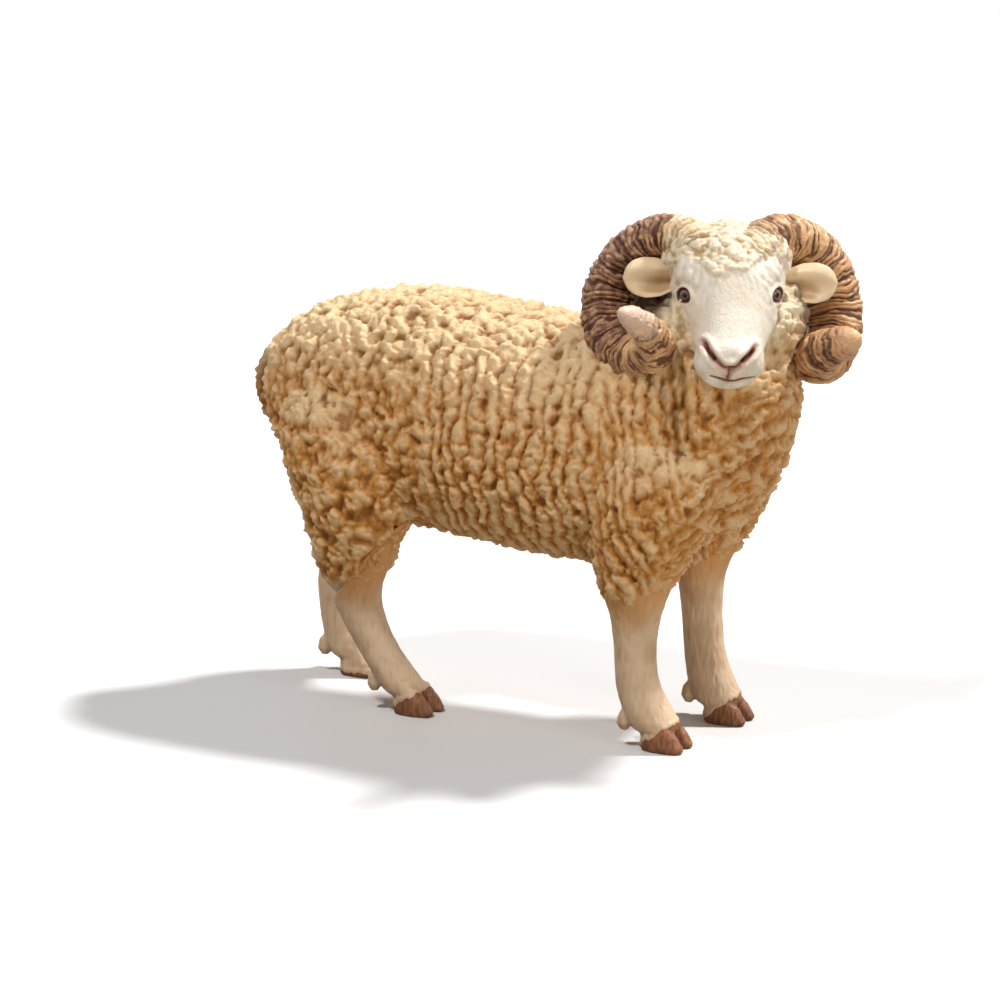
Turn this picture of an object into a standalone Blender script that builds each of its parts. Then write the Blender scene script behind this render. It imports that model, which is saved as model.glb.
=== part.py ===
"""Toy ram figure, standing with its head turned to the right.

The figure is an assembly of plastic castings, as such farm animals are made: a fleeced trunk,
a head, two horns, two ears, four legs and a tail, each with a square spigot that is glued
into a socket of the piece that carries it. Metres, +Z up, +X towards the breast, +Y to the
animal's left. The origin is under the middle of the standing figure, on the floor.
"""

import math

import bmesh
import bpy
from mathutils import Matrix, Vector

# Trunk
BODY_LENGTH = 0.100
BACK_HEIGHT = 0.0745
BODY_DEPTH = 0.042
BODY_WIDTH = 0.040
WOOL_FOLD_SPACING = 0.0052
WOOL_FOLD_RELIEF = 0.0009
WOOL_LOCK_LENGTH = 0.0105

# Legs
HAUNCH_LENGTH = 0.030
HAUNCH_WIDTH = 0.019
SHOULDER_LENGTH = 0.024
SHOULDER_WIDTH = 0.018
HOOF_LENGTH = 0.0078
HOOF_WIDTH = 0.0074
HOOF_HEIGHT = 0.0050
CLEFT_WIDTH = 0.0007
DEWCLAW_LENGTH = 0.0042
DEWCLAW_THICKNESS = 0.0024

# Head
HEAD_LENGTH = 0.026
HEAD_WIDTH = 0.0185
HEAD_DEPTH = 0.0205
HEAD_YAW = -62.0
EYE_DIAMETER = 0.0032
NOSTRIL_LENGTH = 0.0038
MOUTH_WIDTH = 0.0070
LINE_WIDTH = 0.0007

# Horns
HORN_COIL_RADIUS = 0.0100
HORN_THICKNESS = 0.0070
HORN_RING_COUNT = 26
HORN_RING_RELIEF = 0.00045

# Ears
EAR_LENGTH = 0.0108
EAR_WIDTH = 0.0073
EAR_THICKNESS = 0.0032

# Tail
TAIL_LENGTH = 0.0149
TAIL_WIDTH = 0.0120
TAIL_THICKNESS = 0.0072

# Joints between the castings
CLEARANCE = 0.0003
SPIGOT_ACROSS = 0.0050
SPIGOT_LENGTH = 0.0080
SMALL_SPIGOT_ACROSS = 0.0022
SMALL_SPIGOT_LENGTH = 0.0042

# Sections of the trunk from the rump to the breast: forward along the body, height, half
# depth, half width, sideways sway (of the width), and lean in degrees. Then how deep the wool's
# folds are there, and how far up the side they start: -1 is the belly and 1 the back.
BODY_SECTION_SHARES = (
    (-0.428, 0.752, 0.118, 0.150, 0.0, 0, 0.0, 0.70),
    (-0.405, 0.742, 0.249, 0.282, 0.0, 0, 0.0, 0.70),
    (-0.350, 0.725, 0.366, 0.375, 0.0, 0, 0.6, 0.65),
    (-0.275, 0.715, 0.435, 0.430, 0.0, 0, 1.0, 0.60),
    (-0.170, 0.716, 0.484, 0.454, 0.0, 0, 1.0, 0.45),
    (-0.060, 0.702, 0.494, 0.474, 0.0, 0, 1.0, -0.85),
    (0.050, 0.684, 0.484, 0.486, 0.0, 0, 1.0, -0.95),
    (0.150, 0.668, 0.480, 0.484, 0.0, 0, 1.0, -0.75),
    (0.240, 0.672, 0.494, 0.474, 0.01, 13, 1.0, 0.45),
    (0.315, 0.706, 0.494, 0.462, 0.02, 28, 0.9, 0.55),
)
# The neck goes on from there to the skull. Its half depth and half width follow the head's
# depth and width, so that head and horns keep their seats on a fuller or leaner trunk.
NECK_SECTION_SHARES = (
    (0.365, 0.780, 0.931, 0.930, 0.02, 43, 0.6, 0.60),
    (0.392, 0.865, 0.820, 0.844, 0.01, 56, 0.0, 0.70),
    (0.404, 0.935, 0.699, 0.759, -0.01, 66, 0.0, 0.70),
    (0.408, 0.985, 0.420, 0.500, -0.04, 72, 0.0, 0.70),
)
BODY_SQUARENESS_SHARE = 2.25
# How much of the trunk's side, of its half depth, the folds take to reach their full depth, and
# by how much each fold's locks are shifted against those of the fold before.
FOLD_RISE_SHARE = 0.30
LOCK_SHIFT_SHARE = 0.23

# Sections of each leg from its top to the fetlock: forward (of BODY_LENGTH), outward (of
# BODY_WIDTH), height (of BACK_HEIGHT), half length and half width (of the haunch or shoulder).
HIND_RIGHT_SECTION_SHARES = (
    (-0.255, 0.170, 0.830, 0.240, 0.26),
    (-0.250, 0.265, 0.752, 0.383, 0.47),
    (-0.240, 0.305, 0.644, 0.425, 0.51),
    (-0.215, 0.305, 0.537, 0.385, 0.48),
    (-0.215, 0.290, 0.443, 0.315, 0.42),
    (-0.230, 0.265, 0.362, 0.240, 0.34),
    (-0.237, 0.250, 0.295, 0.172, 0.255),
    (-0.229, 0.240, 0.242, 0.145, 0.205),
    (-0.206, 0.230, 0.174, 0.130, 0.190),
    (-0.181, 0.225, 0.121, 0.130, 0.195),
    (-0.151, 0.220, 0.074, 0.145, 0.215),
    (-0.130, 0.218, 0.030, 0.137, 0.195),
)
HIND_LEFT_SECTION_SHARES = (
    (-0.280, 0.170, 0.830, 0.230, 0.26),
    (-0.282, 0.265, 0.752, 0.360, 0.47),
    (-0.284, 0.305, 0.644, 0.415, 0.51),
    (-0.294, 0.305, 0.537, 0.385, 0.48),
    (-0.314, 0.290, 0.443, 0.315, 0.42),
    (-0.337, 0.265, 0.362, 0.243, 0.34),
    (-0.361, 0.250, 0.295, 0.180, 0.255),
    (-0.377, 0.240, 0.228, 0.157, 0.21),
    (-0.376, 0.233, 0.161, 0.137, 0.190),
    (-0.367, 0.228, 0.107, 0.143, 0.195),
    (-0.353, 0.225, 0.070, 0.160, 0.225),
    (-0.340, 0.225, 0.030, 0.150, 0.205),
)
FORE_RIGHT_SECTION_SHARES = (
    (0.330, 0.170, 0.780, 0.300, 0.26),
    (0.340, 0.270, 0.698, 0.448, 0.47),
    (0.345, 0.300, 0.604, 0.500, 0.51),
    (0.330, 0.297, 0.510, 0.438, 0.46),
    (0.313, 0.275, 0.430, 0.342, 0.39),
    (0.304, 0.257, 0.362, 0.250, 0.32),
    (0.303, 0.245, 0.309, 0.185, 0.26),
    (0.301, 0.238, 0.242, 0.153, 0.217),
    (0.301, 0.233, 0.161, 0.154, 0.194),
    (0.314, 0.230, 0.107, 0.183, 0.210),
    (0.334, 0.228, 0.067, 0.200, 0.236),
    (0.343, 0.225, 0.030, 0.183, 0.217),
)
FORE_LEFT_SECTION_SHARES = (
    (0.340, 0.170, 0.780, 0.300, 0.26),
    (0.350, 0.270, 0.698, 0.448, 0.47),
    (0.350, 0.300, 0.604, 0.500, 0.51),
    (0.347, 0.300, 0.510, 0.417, 0.46),
    (0.336, 0.291, 0.430, 0.280, 0.37),
    (0.331, 0.280, 0.362, 0.187, 0.289),
    (0.333, 0.275, 0.309, 0.158, 0.244),
    (0.335, 0.275, 0.242, 0.150, 0.217),
    (0.340, 0.275, 0.161, 0.154, 0.194),
    (0.350, 0.275, 0.107, 0.179, 0.210),
    (0.364, 0.275, 0.067, 0.196, 0.236),
    (0.373, 0.275, 0.030, 0.183, 0.217),
)
# The hoof under each leg's last section: how far its heel stands behind the section's middle.
HEEL_SHARE = 0.30
# The dewclaws behind each pastern: how far back its surface they start.
DEWCLAW_PLACE_SHARE = 0.78
# Each leg's peg: how far out of the trunk's middle it starts, and its height.
LEG_PEG_OUTWARD_SHARE = 0.465
LEG_PEG_HEIGHT_SHARE = 0.60

# Sections of the head from the back of the skull to the lips: forward (of HEAD_LENGTH),
# sideways (of HEAD_WIDTH), height and half depth (of HEAD_DEPTH), half width (of HEAD_WIDTH),
# and lean in degrees.
HEAD_SECTION_SHARES = (
    (-0.350, 0.000, 0.063, 0.260, 0.270, 12),
    (-0.240, 0.000, 0.059, 0.381, 0.430, 8),
    (-0.050, 0.000, 0.019, 0.449, 0.508, -4),
    (0.108, 0.000, -0.060, 0.457, 0.497, -20),
    (0.208, 0.000, -0.176, 0.400, 0.454, -33),
    (0.335, -0.015, -0.337, 0.307, 0.373, -40),
    (0.450, -0.030, -0.473, 0.249, 0.324, -42),
    (0.550, -0.045, -0.576, 0.220, 0.319, -40),
    (0.623, -0.050, -0.634, 0.146, 0.238, -36),
)
# The skull's middle from the end of the neck: forward, sideways and up.
HEAD_PLACE_SHARES = (0.0128, 0.0056, 0.062)
# Eyes, nostrils and mouth: forward, outward and height of their middles in the head.
EYE_PLACE_SHARES = (0.270, 0.385, -0.066)
NOSTRIL_PLACE_SHARES = (0.655, 0.130, -0.500)
NOSTRIL_SIDE_SHARE = -0.045
MOUTH_PLACE_SHARES = (0.600, -0.045, -0.680)

# The horns. Each is a coil about a middle given in the head (forward, outward, height), in a
# plane spread outward, turned from its root over the back to the tip, with both angles given
# as shares of a full turn. The radius of the coil and its drift outward are given at quarters
# of the way, of HORN_COIL_RADIUS.
HORN_MIDDLE_SHARES = {
    "horn_right": (0.183, 0.771, -0.164),
    "horn_left": (0.008, 0.739, -0.304),
}
HORN_SPREAD_SHARES = {"horn_right": 0.1306, "horn_left": 0.1033}
HORN_TURN_SHARES = {"horn_right": (-0.0364, 0.7806), "horn_left": (-0.0667, 0.7111)}
HORN_RADIUS_SHARES = {
    "horn_right": (1.060, 1.015, 0.905, 0.810, 0.790),
    "horn_left": (1.370, 1.180, 0.930, 0.620, 0.530),
}
HORN_DRIFT_SHARES = {
    "horn_right": (-0.860, -0.540, -0.190, 0.150, 1.500),
    "horn_left": (-0.600, -0.330, -0.100, 0.190, 1.220),
}
# The horn's half thickness at the same quarters, and how much wider than deep it is there.
HORN_TAPER_SHARES = {
    "horn_right": (0.520, 0.550, 0.560, 0.480, 0.240),
    "horn_left": (0.520, 0.570, 0.580, 0.540, 0.280),
}
HORN_OVAL_SHARES = {
    "horn_right": (1.10, 1.25, 1.38, 1.15, 1.05),
    "horn_left": (1.10, 1.22, 1.32, 1.15, 1.05),
}
# How much of the horn its tip is rounded over, and how blunt its end is.
HORN_TIP_SHARES = (0.05, 0.20)
HORN_PEG_START_SHARE = 0.10
HORN_PEG_AIM_SHARES = (-0.04, 0.13, 0.24)

# The ears: root in the head, direction, and sections along the ear (along, half width of
# EAR_WIDTH, half thickness of EAR_THICKNESS, drop of the middle of EAR_WIDTH).
EAR_ROOT_SHARES = (0.020, 0.440, -0.010)
EAR_AIM_SHARES = (0.20, 1.0, 0.04)
EAR_SECTION_SHARES = (
    (0.00, 0.26, 0.40, 0.00),
    (0.20, 0.36, 0.48, 0.00),
    (0.42, 0.49, 0.50, -0.02),
    (0.66, 0.50, 0.46, -0.03),
    (0.86, 0.36, 0.36, 0.00),
    (0.97, 0.16, 0.20, 0.03),
)
EAR_UPRIGHT_SHARES = (-0.25, 0, 1)
# The hollow in each ear: its place along and across the ear, then its length, width and depth.
EAR_CUP_PLACE_SHARES = (0.60, -0.06)
EAR_CUP_SHARES = (0.66, 0.30, 0.42)

# The tail from its root in the trunk to its end: how far behind the root (of the tail's
# thickness), how far down its length, half width and half thickness.
TAIL_ROOT_SHARES = (-0.405, 0, 0.845)
TAIL_SECTION_SHARES = (
    (0.000, 0.000, 0.30, 0.36),
    (0.320, 0.100, 0.44, 0.48),
    (0.500, 0.350, 0.50, 0.50),
    (0.542, 0.625, 0.50, 0.48),
    (0.528, 0.850, 0.42, 0.38),
    (0.500, 1.000, 0.22, 0.20),
)

RING_POINTS = 14
BODY_RING_POINTS = 34
SMOOTHING_LEVELS = 1


def clear_scene():
    for thing in list(bpy.data.objects):
        bpy.data.objects.remove(thing)


def material(name, colour, roughness):
    made = bpy.data.materials.new(name)
    made.use_nodes = True
    shader = made.node_tree.nodes["Principled BSDF"]
    shader.inputs["Base Color"].default_value = (*colour, 1.0)
    shader.inputs["Roughness"].default_value = roughness
    shader.inputs["Metallic"].default_value = 0.0
    return made


def in_trunk(forward, outward, height):
    return Vector((forward * BODY_LENGTH, outward * BODY_WIDTH, height * BACK_HEIGHT))


def in_head(forward, outward, height):
    return Vector((forward * HEAD_LENGTH, outward * HEAD_WIDTH, height * HEAD_DEPTH))


def smooth_value(values, share):
    """The smooth curve through evenly spaced values, read at a share of the way along."""
    last = len(values) - 1
    total = 0.0
    for place, value in enumerate(values):
        weight = 1.0
        for other in range(last + 1):
            if other != place:
                weight *= (share * last - other) / (place - other)
        total += value * weight
    return total


def standing_frame(centre, lean, half_depth, half_width):
    """A section across the +X line, leant back by lean degrees."""
    turn = Matrix.Rotation(math.radians(-lean), 4, "Y")
    size = Matrix.Diagonal((1, half_width, half_depth, 1))
    return Matrix.Translation(centre) @ turn @ size


def level_frame(centre, half_length, half_width):
    """A level section, as across a leg."""
    on_edge = Matrix.Rotation(math.radians(90), 4, "Y")
    size = Matrix.Diagonal((half_length, half_width, 1, 1))
    return Matrix.Translation(centre) @ size @ on_edge


def aimed_frame(centre, ahead, across, half_across, half_other):
    """A section across a direction, with its width along the side given."""
    ahead = ahead.normalized()
    upright = ahead.cross(across).normalized()
    across = upright.cross(ahead).normalized()
    turn = Matrix((ahead, across, upright)).transposed().to_4x4()
    size = Matrix.Diagonal((1, half_across, half_other, 1))
    return Matrix.Translation(centre) @ turn @ size


def add_ring(shape, frame, points, squareness, capped, relief=None):
    """One section: a unit circle across +X, squared off a little, set in its frame.

    The relief, if any, gives how far each point stands out, from its angle around the section.
    """
    stand = Matrix.Rotation(math.radians(90), 4, "Y")
    made = bmesh.ops.create_circle(
        shape, cap_ends=capped, radius=1, segments=points, matrix=stand
    )
    for vertex in made["verts"]:
        around = math.atan2(vertex.co.z, vertex.co.y)
        side, rise = math.cos(around), math.sin(around)
        swell = (abs(side) ** squareness + abs(rise) ** squareness) ** (-1 / squareness)
        outward = Vector((0, side * swell, rise * swell))
        vertex.co = frame @ outward
        if relief:
            vertex.co += (frame.to_3x3() @ outward).normalized() * relief(around)
    return list({edge for vertex in made["verts"] for edge in vertex.link_edges})


def loft(frames, points=RING_POINTS, squareness=2.0, reliefs=None):
    """A closed skin through sections, with both ends capped."""
    shape = bmesh.new()
    last = len(frames) - 1
    reliefs = reliefs or [None] * len(frames)
    rings = [
        add_ring(shape, frame, points, squareness, place in (0, last), reliefs[place])
        for place, frame in enumerate(frames)
    ]
    for first, second in zip(rings, rings[1:]):
        bmesh.ops.bridge_loops(shape, edges=first + second)
    bmesh.ops.recalc_face_normals(shape, faces=shape.faces)
    return shape


def new_object(name, shape, finish=None, place=None):
    mesh = bpy.data.meshes.new(name)
    shape.to_mesh(mesh)
    shape.free()
    made = bpy.data.objects.new(name, mesh)
    bpy.context.collection.objects.link(made)
    if finish:
        made.data.materials.append(finish)
    if place:
        made.location = place.location
        made.rotation_euler = place.rotation_euler
    made.data.shade_smooth()
    return made


def helper(name, shape, place=None):
    """A cutter or an addition to another piece, which is no piece of the figure itself."""
    made = new_object(name, shape, place=place)
    made.hide_render = True
    made.display_type = "WIRE"
    return made


def round_off(piece):
    rounding = piece.modifiers.new("rounding", "SUBSURF")
    rounding.levels = SMOOTHING_LEVELS
    rounding.render_levels = SMOOTHING_LEVELS


def combine(piece, other, operation):
    change = piece.modifiers.new(f"{operation.lower()}_{other.name}", "BOOLEAN")
    change.operation = operation
    change.object = other


def grown_copy(piece, rounded=True):
    """The same form with the glue gap all round, to cut what seats against the piece."""
    made = bpy.data.objects.new(f"seat_{piece.name}", piece.data.copy())
    bpy.context.collection.objects.link(made)
    made.location = piece.location
    made.rotation_euler = piece.rotation_euler
    made.hide_render = True
    made.display_type = "WIRE"
    if rounded:
        round_off(made)
    swell = made.modifiers.new("glue_gap", "DISPLACE")
    swell.strength = CLEARANCE
    swell.mid_level = 0
    return made


def peg_shape(start, aim, across, length, grow=0.0):
    """A square peg from a point along an aim, tapered a little towards its end."""
    shape = bmesh.new()
    made = bmesh.ops.create_cube(shape, size=1)
    taper_share = 0.85
    turn = aim.to_track_quat("Z", "Y").to_matrix()
    for vertex in made["verts"]:
        at_end = vertex.co.z > 0
        half = across / 2 * (taper_share if at_end else 1) + grow
        vertex.co = turn @ Vector((
            math.copysign(half, vertex.co.x),
            math.copysign(half, vertex.co.y),
            length + grow if at_end else 0,
        )) + start
    return shape


def fit_peg(piece, carrier, start, aim, across, length, place=None):
    """A peg on the piece, and its socket in the piece that carries it."""
    peg = helper(f"peg_{piece.name}", peg_shape(start, aim, across, length), place)
    socket = helper(
        f"socket_{piece.name}", peg_shape(start, aim, across, length, CLEARANCE), place
    )
    combine(piece, peg, "UNION")
    combine(carrier, socket, "DIFFERENCE")


def trunk_section(shares, depth, width):
    """A section's numbers in metres: its middle, half depth and half width, then the others."""
    forward, height, half_depth, half_width, sway, lean, fold, clear = shares
    centre = in_trunk(forward, sway, height)
    return (*centre, half_depth * depth, half_width * width, lean, fold, clear)


def smooth_section(sections, share):
    """A section at a share of the way along, on the smooth run that the named ones pull on."""
    first = [2 * near - far for near, far in zip(sections[0], sections[1])]
    final = [2 * near - far for near, far in zip(sections[-1], sections[-2])]
    padded = [first, *sections, final]
    last = len(sections) - 1
    place = min(int(share * last), last - 1)
    part = share * last - place
    weights = (
        (1 - part) ** 3 / 6,
        2 / 3 - part**2 + part**3 / 2,
        2 / 3 - (1 - part) ** 2 + (1 - part) ** 3 / 2,
        part**3 / 6,
    )
    pulling = padded[place:place + 4]
    return [sum(pull * weight for pull, weight in zip(row, weights)) for row in zip(*pulling)]


def fold_reliefs(run):
    """For each section, how far the wool stands out around it.

    Crests and valleys take turns from section to section. Each is broken into locks, which are
    shifted from fold to fold.
    """
    reliefs = []
    for place, (*_, half_depth, half_width, lean, fold, clear) in enumerate(run):
        crest = 1 if place % 2 else -1

        def relief(around, place=place, crest=crest, reach=half_depth + half_width,
                   fold=fold, clear=clear):
            climb = min(max((math.sin(around) - clear) / FOLD_RISE_SHARE, 0), 1)
            locks = around * reach / 2 / WOOL_LOCK_LENGTH + LOCK_SHIFT_SHARE * (place // 2)
            return WOOL_FOLD_RELIEF / 2 * fold * climb * crest * math.cos(math.pi * locks)

        reliefs.append(relief)
    return reliefs


def build_body(finish):
    """The trunk and neck, with the main folds of the fleece standing on them."""
    sections = [trunk_section(shares, BODY_DEPTH, BODY_WIDTH) for shares in BODY_SECTION_SHARES]
    sections += [trunk_section(shares, HEAD_DEPTH, HEAD_WIDTH) for shares in NECK_SECTION_SHARES]
    samples = 600
    run = [smooth_section(sections, 0)]
    for step in range(1, samples + 1):
        section = smooth_section(sections, step / samples)
        gap = (Vector(section[:3]) - Vector(run[-1][:3])).length
        if gap >= WOOL_FOLD_SPACING / 2 or step == samples:
            run.append(section)
    frames = [
        standing_frame(Vector(middle), lean, half_depth, half_width)
        for *middle, half_depth, half_width, lean, fold, clear in run
    ]
    shape = loft(frames, BODY_RING_POINTS, BODY_SQUARENESS_SHARE, fold_reliefs(run))
    return new_object("body", shape, finish)


def neck_point(place):
    """The middle of one of the neck's sections."""
    forward, height, half_depth, half_width, sway, *_ = NECK_SECTION_SHARES[place]
    return in_trunk(forward, sway, height)


def claw_shape(heel, toe, middle, half_width):
    """One claw of a cloven hoof: flat below, its wall leaning back from the toe."""
    frames = []
    half_length = (toe - heel) / 2
    for rise, length, width, back in (
        (0.00, 0.93, 0.88, 0.00),
        (0.16, 1.00, 1.00, 0.00),
        (0.55, 0.82, 0.96, 0.16),
        (1.00, 0.50, 0.70, 0.42),
    ):
        centre = Vector((heel + half_length * (1 - back), middle, rise * HOOF_HEIGHT))
        frames.append(level_frame(centre, half_length * length, half_width * width))
    return loft(frames, points=12, squareness=2.5)


def dewclaw_shape(back, middle, height):
    """A small spur behind the pastern, hanging down."""
    half = DEWCLAW_THICKNESS / 2
    frames = []
    for drop, size, behind in ((0.0, 0.5, 0.0), (0.3, 0.9, 0.5), (0.7, 1.0, 0.7), (1.0, 0.5, 0.6)):
        centre = Vector((back - behind * half, middle, height - drop * DEWCLAW_LENGTH))
        frames.append(level_frame(centre, half * size * 1.2, half * size))
    return loft(frames, points=6)


def build_leg(name, sections, side, length, width, body_seat, finish):
    """A leg from its haunch or shoulder to the hoof, cut to seat on the trunk's flank."""
    frames = []
    for forward, outward, height, half_length, half_width in sections:
        frames.append(level_frame(
            in_trunk(forward, side * outward, height), half_length * length, half_width * width
        ))
    leg = new_object(name, loft(frames, points=12), finish)
    round_off(leg)
    pastern = frames[-2].translation
    hoof = frames[-1].translation
    heel = hoof.x - HEEL_SHARE * HOOF_LENGTH
    back = pastern.x - DEWCLAW_PLACE_SHARE * sections[-2][3] * length
    for which, outward in (("outer", side), ("inner", -side)):
        middle = hoof.y + outward * (HOOF_WIDTH + CLEFT_WIDTH) / 4
        half_width = (HOOF_WIDTH - CLEFT_WIDTH) / 4
        claw = helper(
            f"claw_{which}_{name}", claw_shape(heel, heel + HOOF_LENGTH, middle, half_width)
        )
        combine(leg, claw, "UNION")
        spur = helper(
            f"dewclaw_{which}_{name}",
            dewclaw_shape(back, pastern.y + outward * 0.24 * HOOF_WIDTH,
                          pastern.z + 0.5 * DEWCLAW_LENGTH),
        )
        combine(leg, spur, "UNION")
    combine(leg, body_seat, "DIFFERENCE")
    return leg


def fit_leg(leg, body, sections, side):
    forward, *_ = sections[3]
    start = in_trunk(forward, side * LEG_PEG_OUTWARD_SHARE, LEG_PEG_HEIGHT_SHARE)
    fit_peg(leg, body, start, Vector((0, -side, 0)), SPIGOT_ACROSS, SPIGOT_LENGTH)


def build_head(finish):
    frames = [
        standing_frame(
            in_head(forward, sway, height), lean, half_depth * HEAD_DEPTH, half_width * HEAD_WIDTH
        )
        for forward, sway, height, half_depth, half_width, lean in HEAD_SECTION_SHARES
    ]
    head = new_object("head", loft(frames, points=16), finish)
    head.location = neck_point(-1) + in_trunk(*HEAD_PLACE_SHARES)
    head.rotation_euler = (0, 0, math.radians(HEAD_YAW))
    round_off(head)
    return head


def detail_head(head, body_seat):
    """Eyes, nostrils and mouth, and the seat on the neck."""
    combine(head, body_seat, "DIFFERENCE")
    for name, side in (("right", -1), ("left", 1)):
        forward, outward, height = EYE_PLACE_SHARES
        ball = bmesh.new()
        bmesh.ops.create_uvsphere(ball, u_segments=10, v_segments=6, radius=EYE_DIAMETER / 2)
        bmesh.ops.translate(ball, verts=ball.verts, vec=in_head(forward, side * outward, height))
        combine(head, helper(f"eye_{name}", ball, head), "UNION")
        forward, outward, height = NOSTRIL_PLACE_SHARES
        slit = bmesh.new()
        bmesh.ops.create_uvsphere(slit, u_segments=8, v_segments=6, radius=NOSTRIL_LENGTH / 2)
        thin = LINE_WIDTH / NOSTRIL_LENGTH
        bmesh.ops.scale(slit, vec=(0.5, thin, 1), verts=slit.verts)
        bmesh.ops.rotate(slit, verts=slit.verts, matrix=Matrix.Rotation(side * 0.8, 3, "X"))
        place = in_head(forward, NOSTRIL_SIDE_SHARE + side * outward, height)
        bmesh.ops.translate(slit, verts=slit.verts, vec=place)
        combine(head, helper(f"nostril_{name}", slit, head), "DIFFERENCE")
    groove = bmesh.new()
    bmesh.ops.create_uvsphere(groove, u_segments=12, v_segments=6, radius=MOUTH_WIDTH / 2)
    bmesh.ops.scale(groove, vec=(0.6, 1, LINE_WIDTH / MOUTH_WIDTH), verts=groove.verts)
    bmesh.ops.translate(groove, verts=groove.verts, vec=in_head(*MOUTH_PLACE_SHARES))
    combine(head, helper("mouth", groove, head), "DIFFERENCE")


def horn_point(name, side, share):
    """A point on a horn's middle line, in the head, a share of the way from root to tip."""
    forward, outward, height = HORN_MIDDLE_SHARES[name]
    middle = in_head(forward, side * outward, height)
    spread = math.tau * HORN_SPREAD_SHARES[name]
    back = Vector((-math.cos(spread), side * math.sin(spread), 0))
    axis = Vector((math.sin(spread), side * math.cos(spread), 0))
    start, end = HORN_TURN_SHARES[name]
    turn = math.tau * (start + (end - start) * share)
    radius = HORN_COIL_RADIUS * smooth_value(HORN_RADIUS_SHARES[name], share)
    drift = HORN_COIL_RADIUS * smooth_value(HORN_DRIFT_SHARES[name], share)
    around = Vector((0, 0, math.cos(turn))) + back * math.sin(turn)
    return middle + around * radius + axis * drift, axis


def build_horn(name, side, head, finish):
    """A coiled, tapering, ridged horn, its rings closing up towards the tip."""
    steps = HORN_RING_COUNT * 2
    look_ahead_share = 0.001
    rounded, blunt = HORN_TIP_SHARES
    frames = []
    for step in range(steps + 1):
        share = step / steps
        here, axis = horn_point(name, side, share)
        ahead = horn_point(name, side, share + look_ahead_share)[0] - here
        ridge = HORN_RING_RELIEF / 2 * (1 if step % 2 else -1) * min(1, 2 - 2 * share)
        tip = math.sqrt(min(1, blunt + (1 - share) / rounded))
        half = HORN_THICKNESS * smooth_value(HORN_TAPER_SHARES[name], share) * tip + ridge
        oval = smooth_value(HORN_OVAL_SHARES[name], share)
        frames.append(aimed_frame(here, ahead, axis, half * oval, half))
    return new_object(name, loft(frames, points=12), finish, head)


def fit_horn(name, side, horn, head):
    start = horn_point(name, side, HORN_PEG_START_SHARE)[0]
    forward, outward, height = HORN_PEG_AIM_SHARES
    aim = in_head(forward, side * outward, height) - start
    fit_peg(horn, head, start, aim, SMALL_SPIGOT_ACROSS, SPIGOT_LENGTH, head)


def ear_line(side, share, drop):
    forward, outward, height = EAR_ROOT_SHARES
    root = in_head(forward, side * outward, height)
    forward, outward, height = EAR_AIM_SHARES
    aim = Vector((forward, side * outward, height)).normalized()
    return root + aim * share * EAR_LENGTH + Vector((0, 0, drop * EAR_WIDTH)), aim


def build_ear(name, side, head, finish):
    """A leaf-shaped ear, hollowed on its front."""
    frames = []
    for along, half_width, half_thickness, drop in EAR_SECTION_SHARES:
        here, aim = ear_line(side, along, drop)
        upright = Vector(EAR_UPRIGHT_SHARES)
        frames.append(aimed_frame(
            here, aim, upright, half_width * EAR_WIDTH, half_thickness * EAR_THICKNESS
        ))
    ear = new_object(name, loft(frames, points=8), finish, head)
    round_off(ear)
    length, width, ahead = EAR_CUP_SHARES
    cup = bmesh.new()
    bmesh.ops.create_uvsphere(cup, u_segments=12, v_segments=8, radius=1)
    middle, aim = ear_line(side, *EAR_CUP_PLACE_SHARES)
    front = Vector((ahead * EAR_THICKNESS * 1.5, 0, -0.10 * EAR_WIDTH))
    size = (ahead * EAR_THICKNESS, length * EAR_LENGTH / 2, width * EAR_WIDTH)
    turn = Vector((0, side, 0)).rotation_difference(aim).to_matrix()
    bmesh.ops.scale(cup, vec=size, verts=cup.verts)
    bmesh.ops.rotate(cup, verts=cup.verts, matrix=turn)
    bmesh.ops.translate(cup, verts=cup.verts, vec=middle + turn @ front)
    combine(ear, helper(f"cup_{name}", cup, head), "DIFFERENCE")
    return ear


def fit_ear(side, ear, head):
    start, aim = ear_line(side, 0.14, 0)
    fit_peg(ear, head, start, -aim, SMALL_SPIGOT_ACROSS, SMALL_SPIGOT_LENGTH, head)


def tail_point(behind, along):
    drop = Vector((-behind * TAIL_THICKNESS, 0, -along * TAIL_LENGTH))
    return in_trunk(*TAIL_ROOT_SHARES) + drop


def build_tail(finish):
    frames = [
        level_frame(
            tail_point(behind, along), half_thickness * TAIL_THICKNESS, half_width * TAIL_WIDTH
        )
        for behind, along, half_width, half_thickness in TAIL_SECTION_SHARES
    ]
    tail = new_object("tail", loft(frames, points=12), finish)
    round_off(tail)
    return tail


def fit_tail(tail, body):
    behind, along, *_ = TAIL_SECTION_SHARES[2]
    start = tail_point(behind, along)
    fit_peg(tail, body, start, Vector((1, 0, 0)), SMALL_SPIGOT_ACROSS, SPIGOT_LENGTH)


def centre_on_floor(pieces):
    """Move everything so that the origin is under the middle of the standing figure."""
    bpy.context.view_layer.update()
    graph = bpy.context.evaluated_depsgraph_get()
    lows = [math.inf] * 3
    highs = [-math.inf] * 3
    for piece in pieces:
        shown = piece.evaluated_get(graph)
        for vertex in shown.data.vertices:
            point = shown.matrix_world @ vertex.co
            for axis in range(3):
                lows[axis] = min(lows[axis], point[axis])
                highs[axis] = max(highs[axis], point[axis])
    move = Vector((-(lows[0] + highs[0]) / 2, -(lows[1] + highs[1]) / 2, -lows[2]))
    for thing in bpy.data.objects:
        thing.location = thing.location + move


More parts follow.
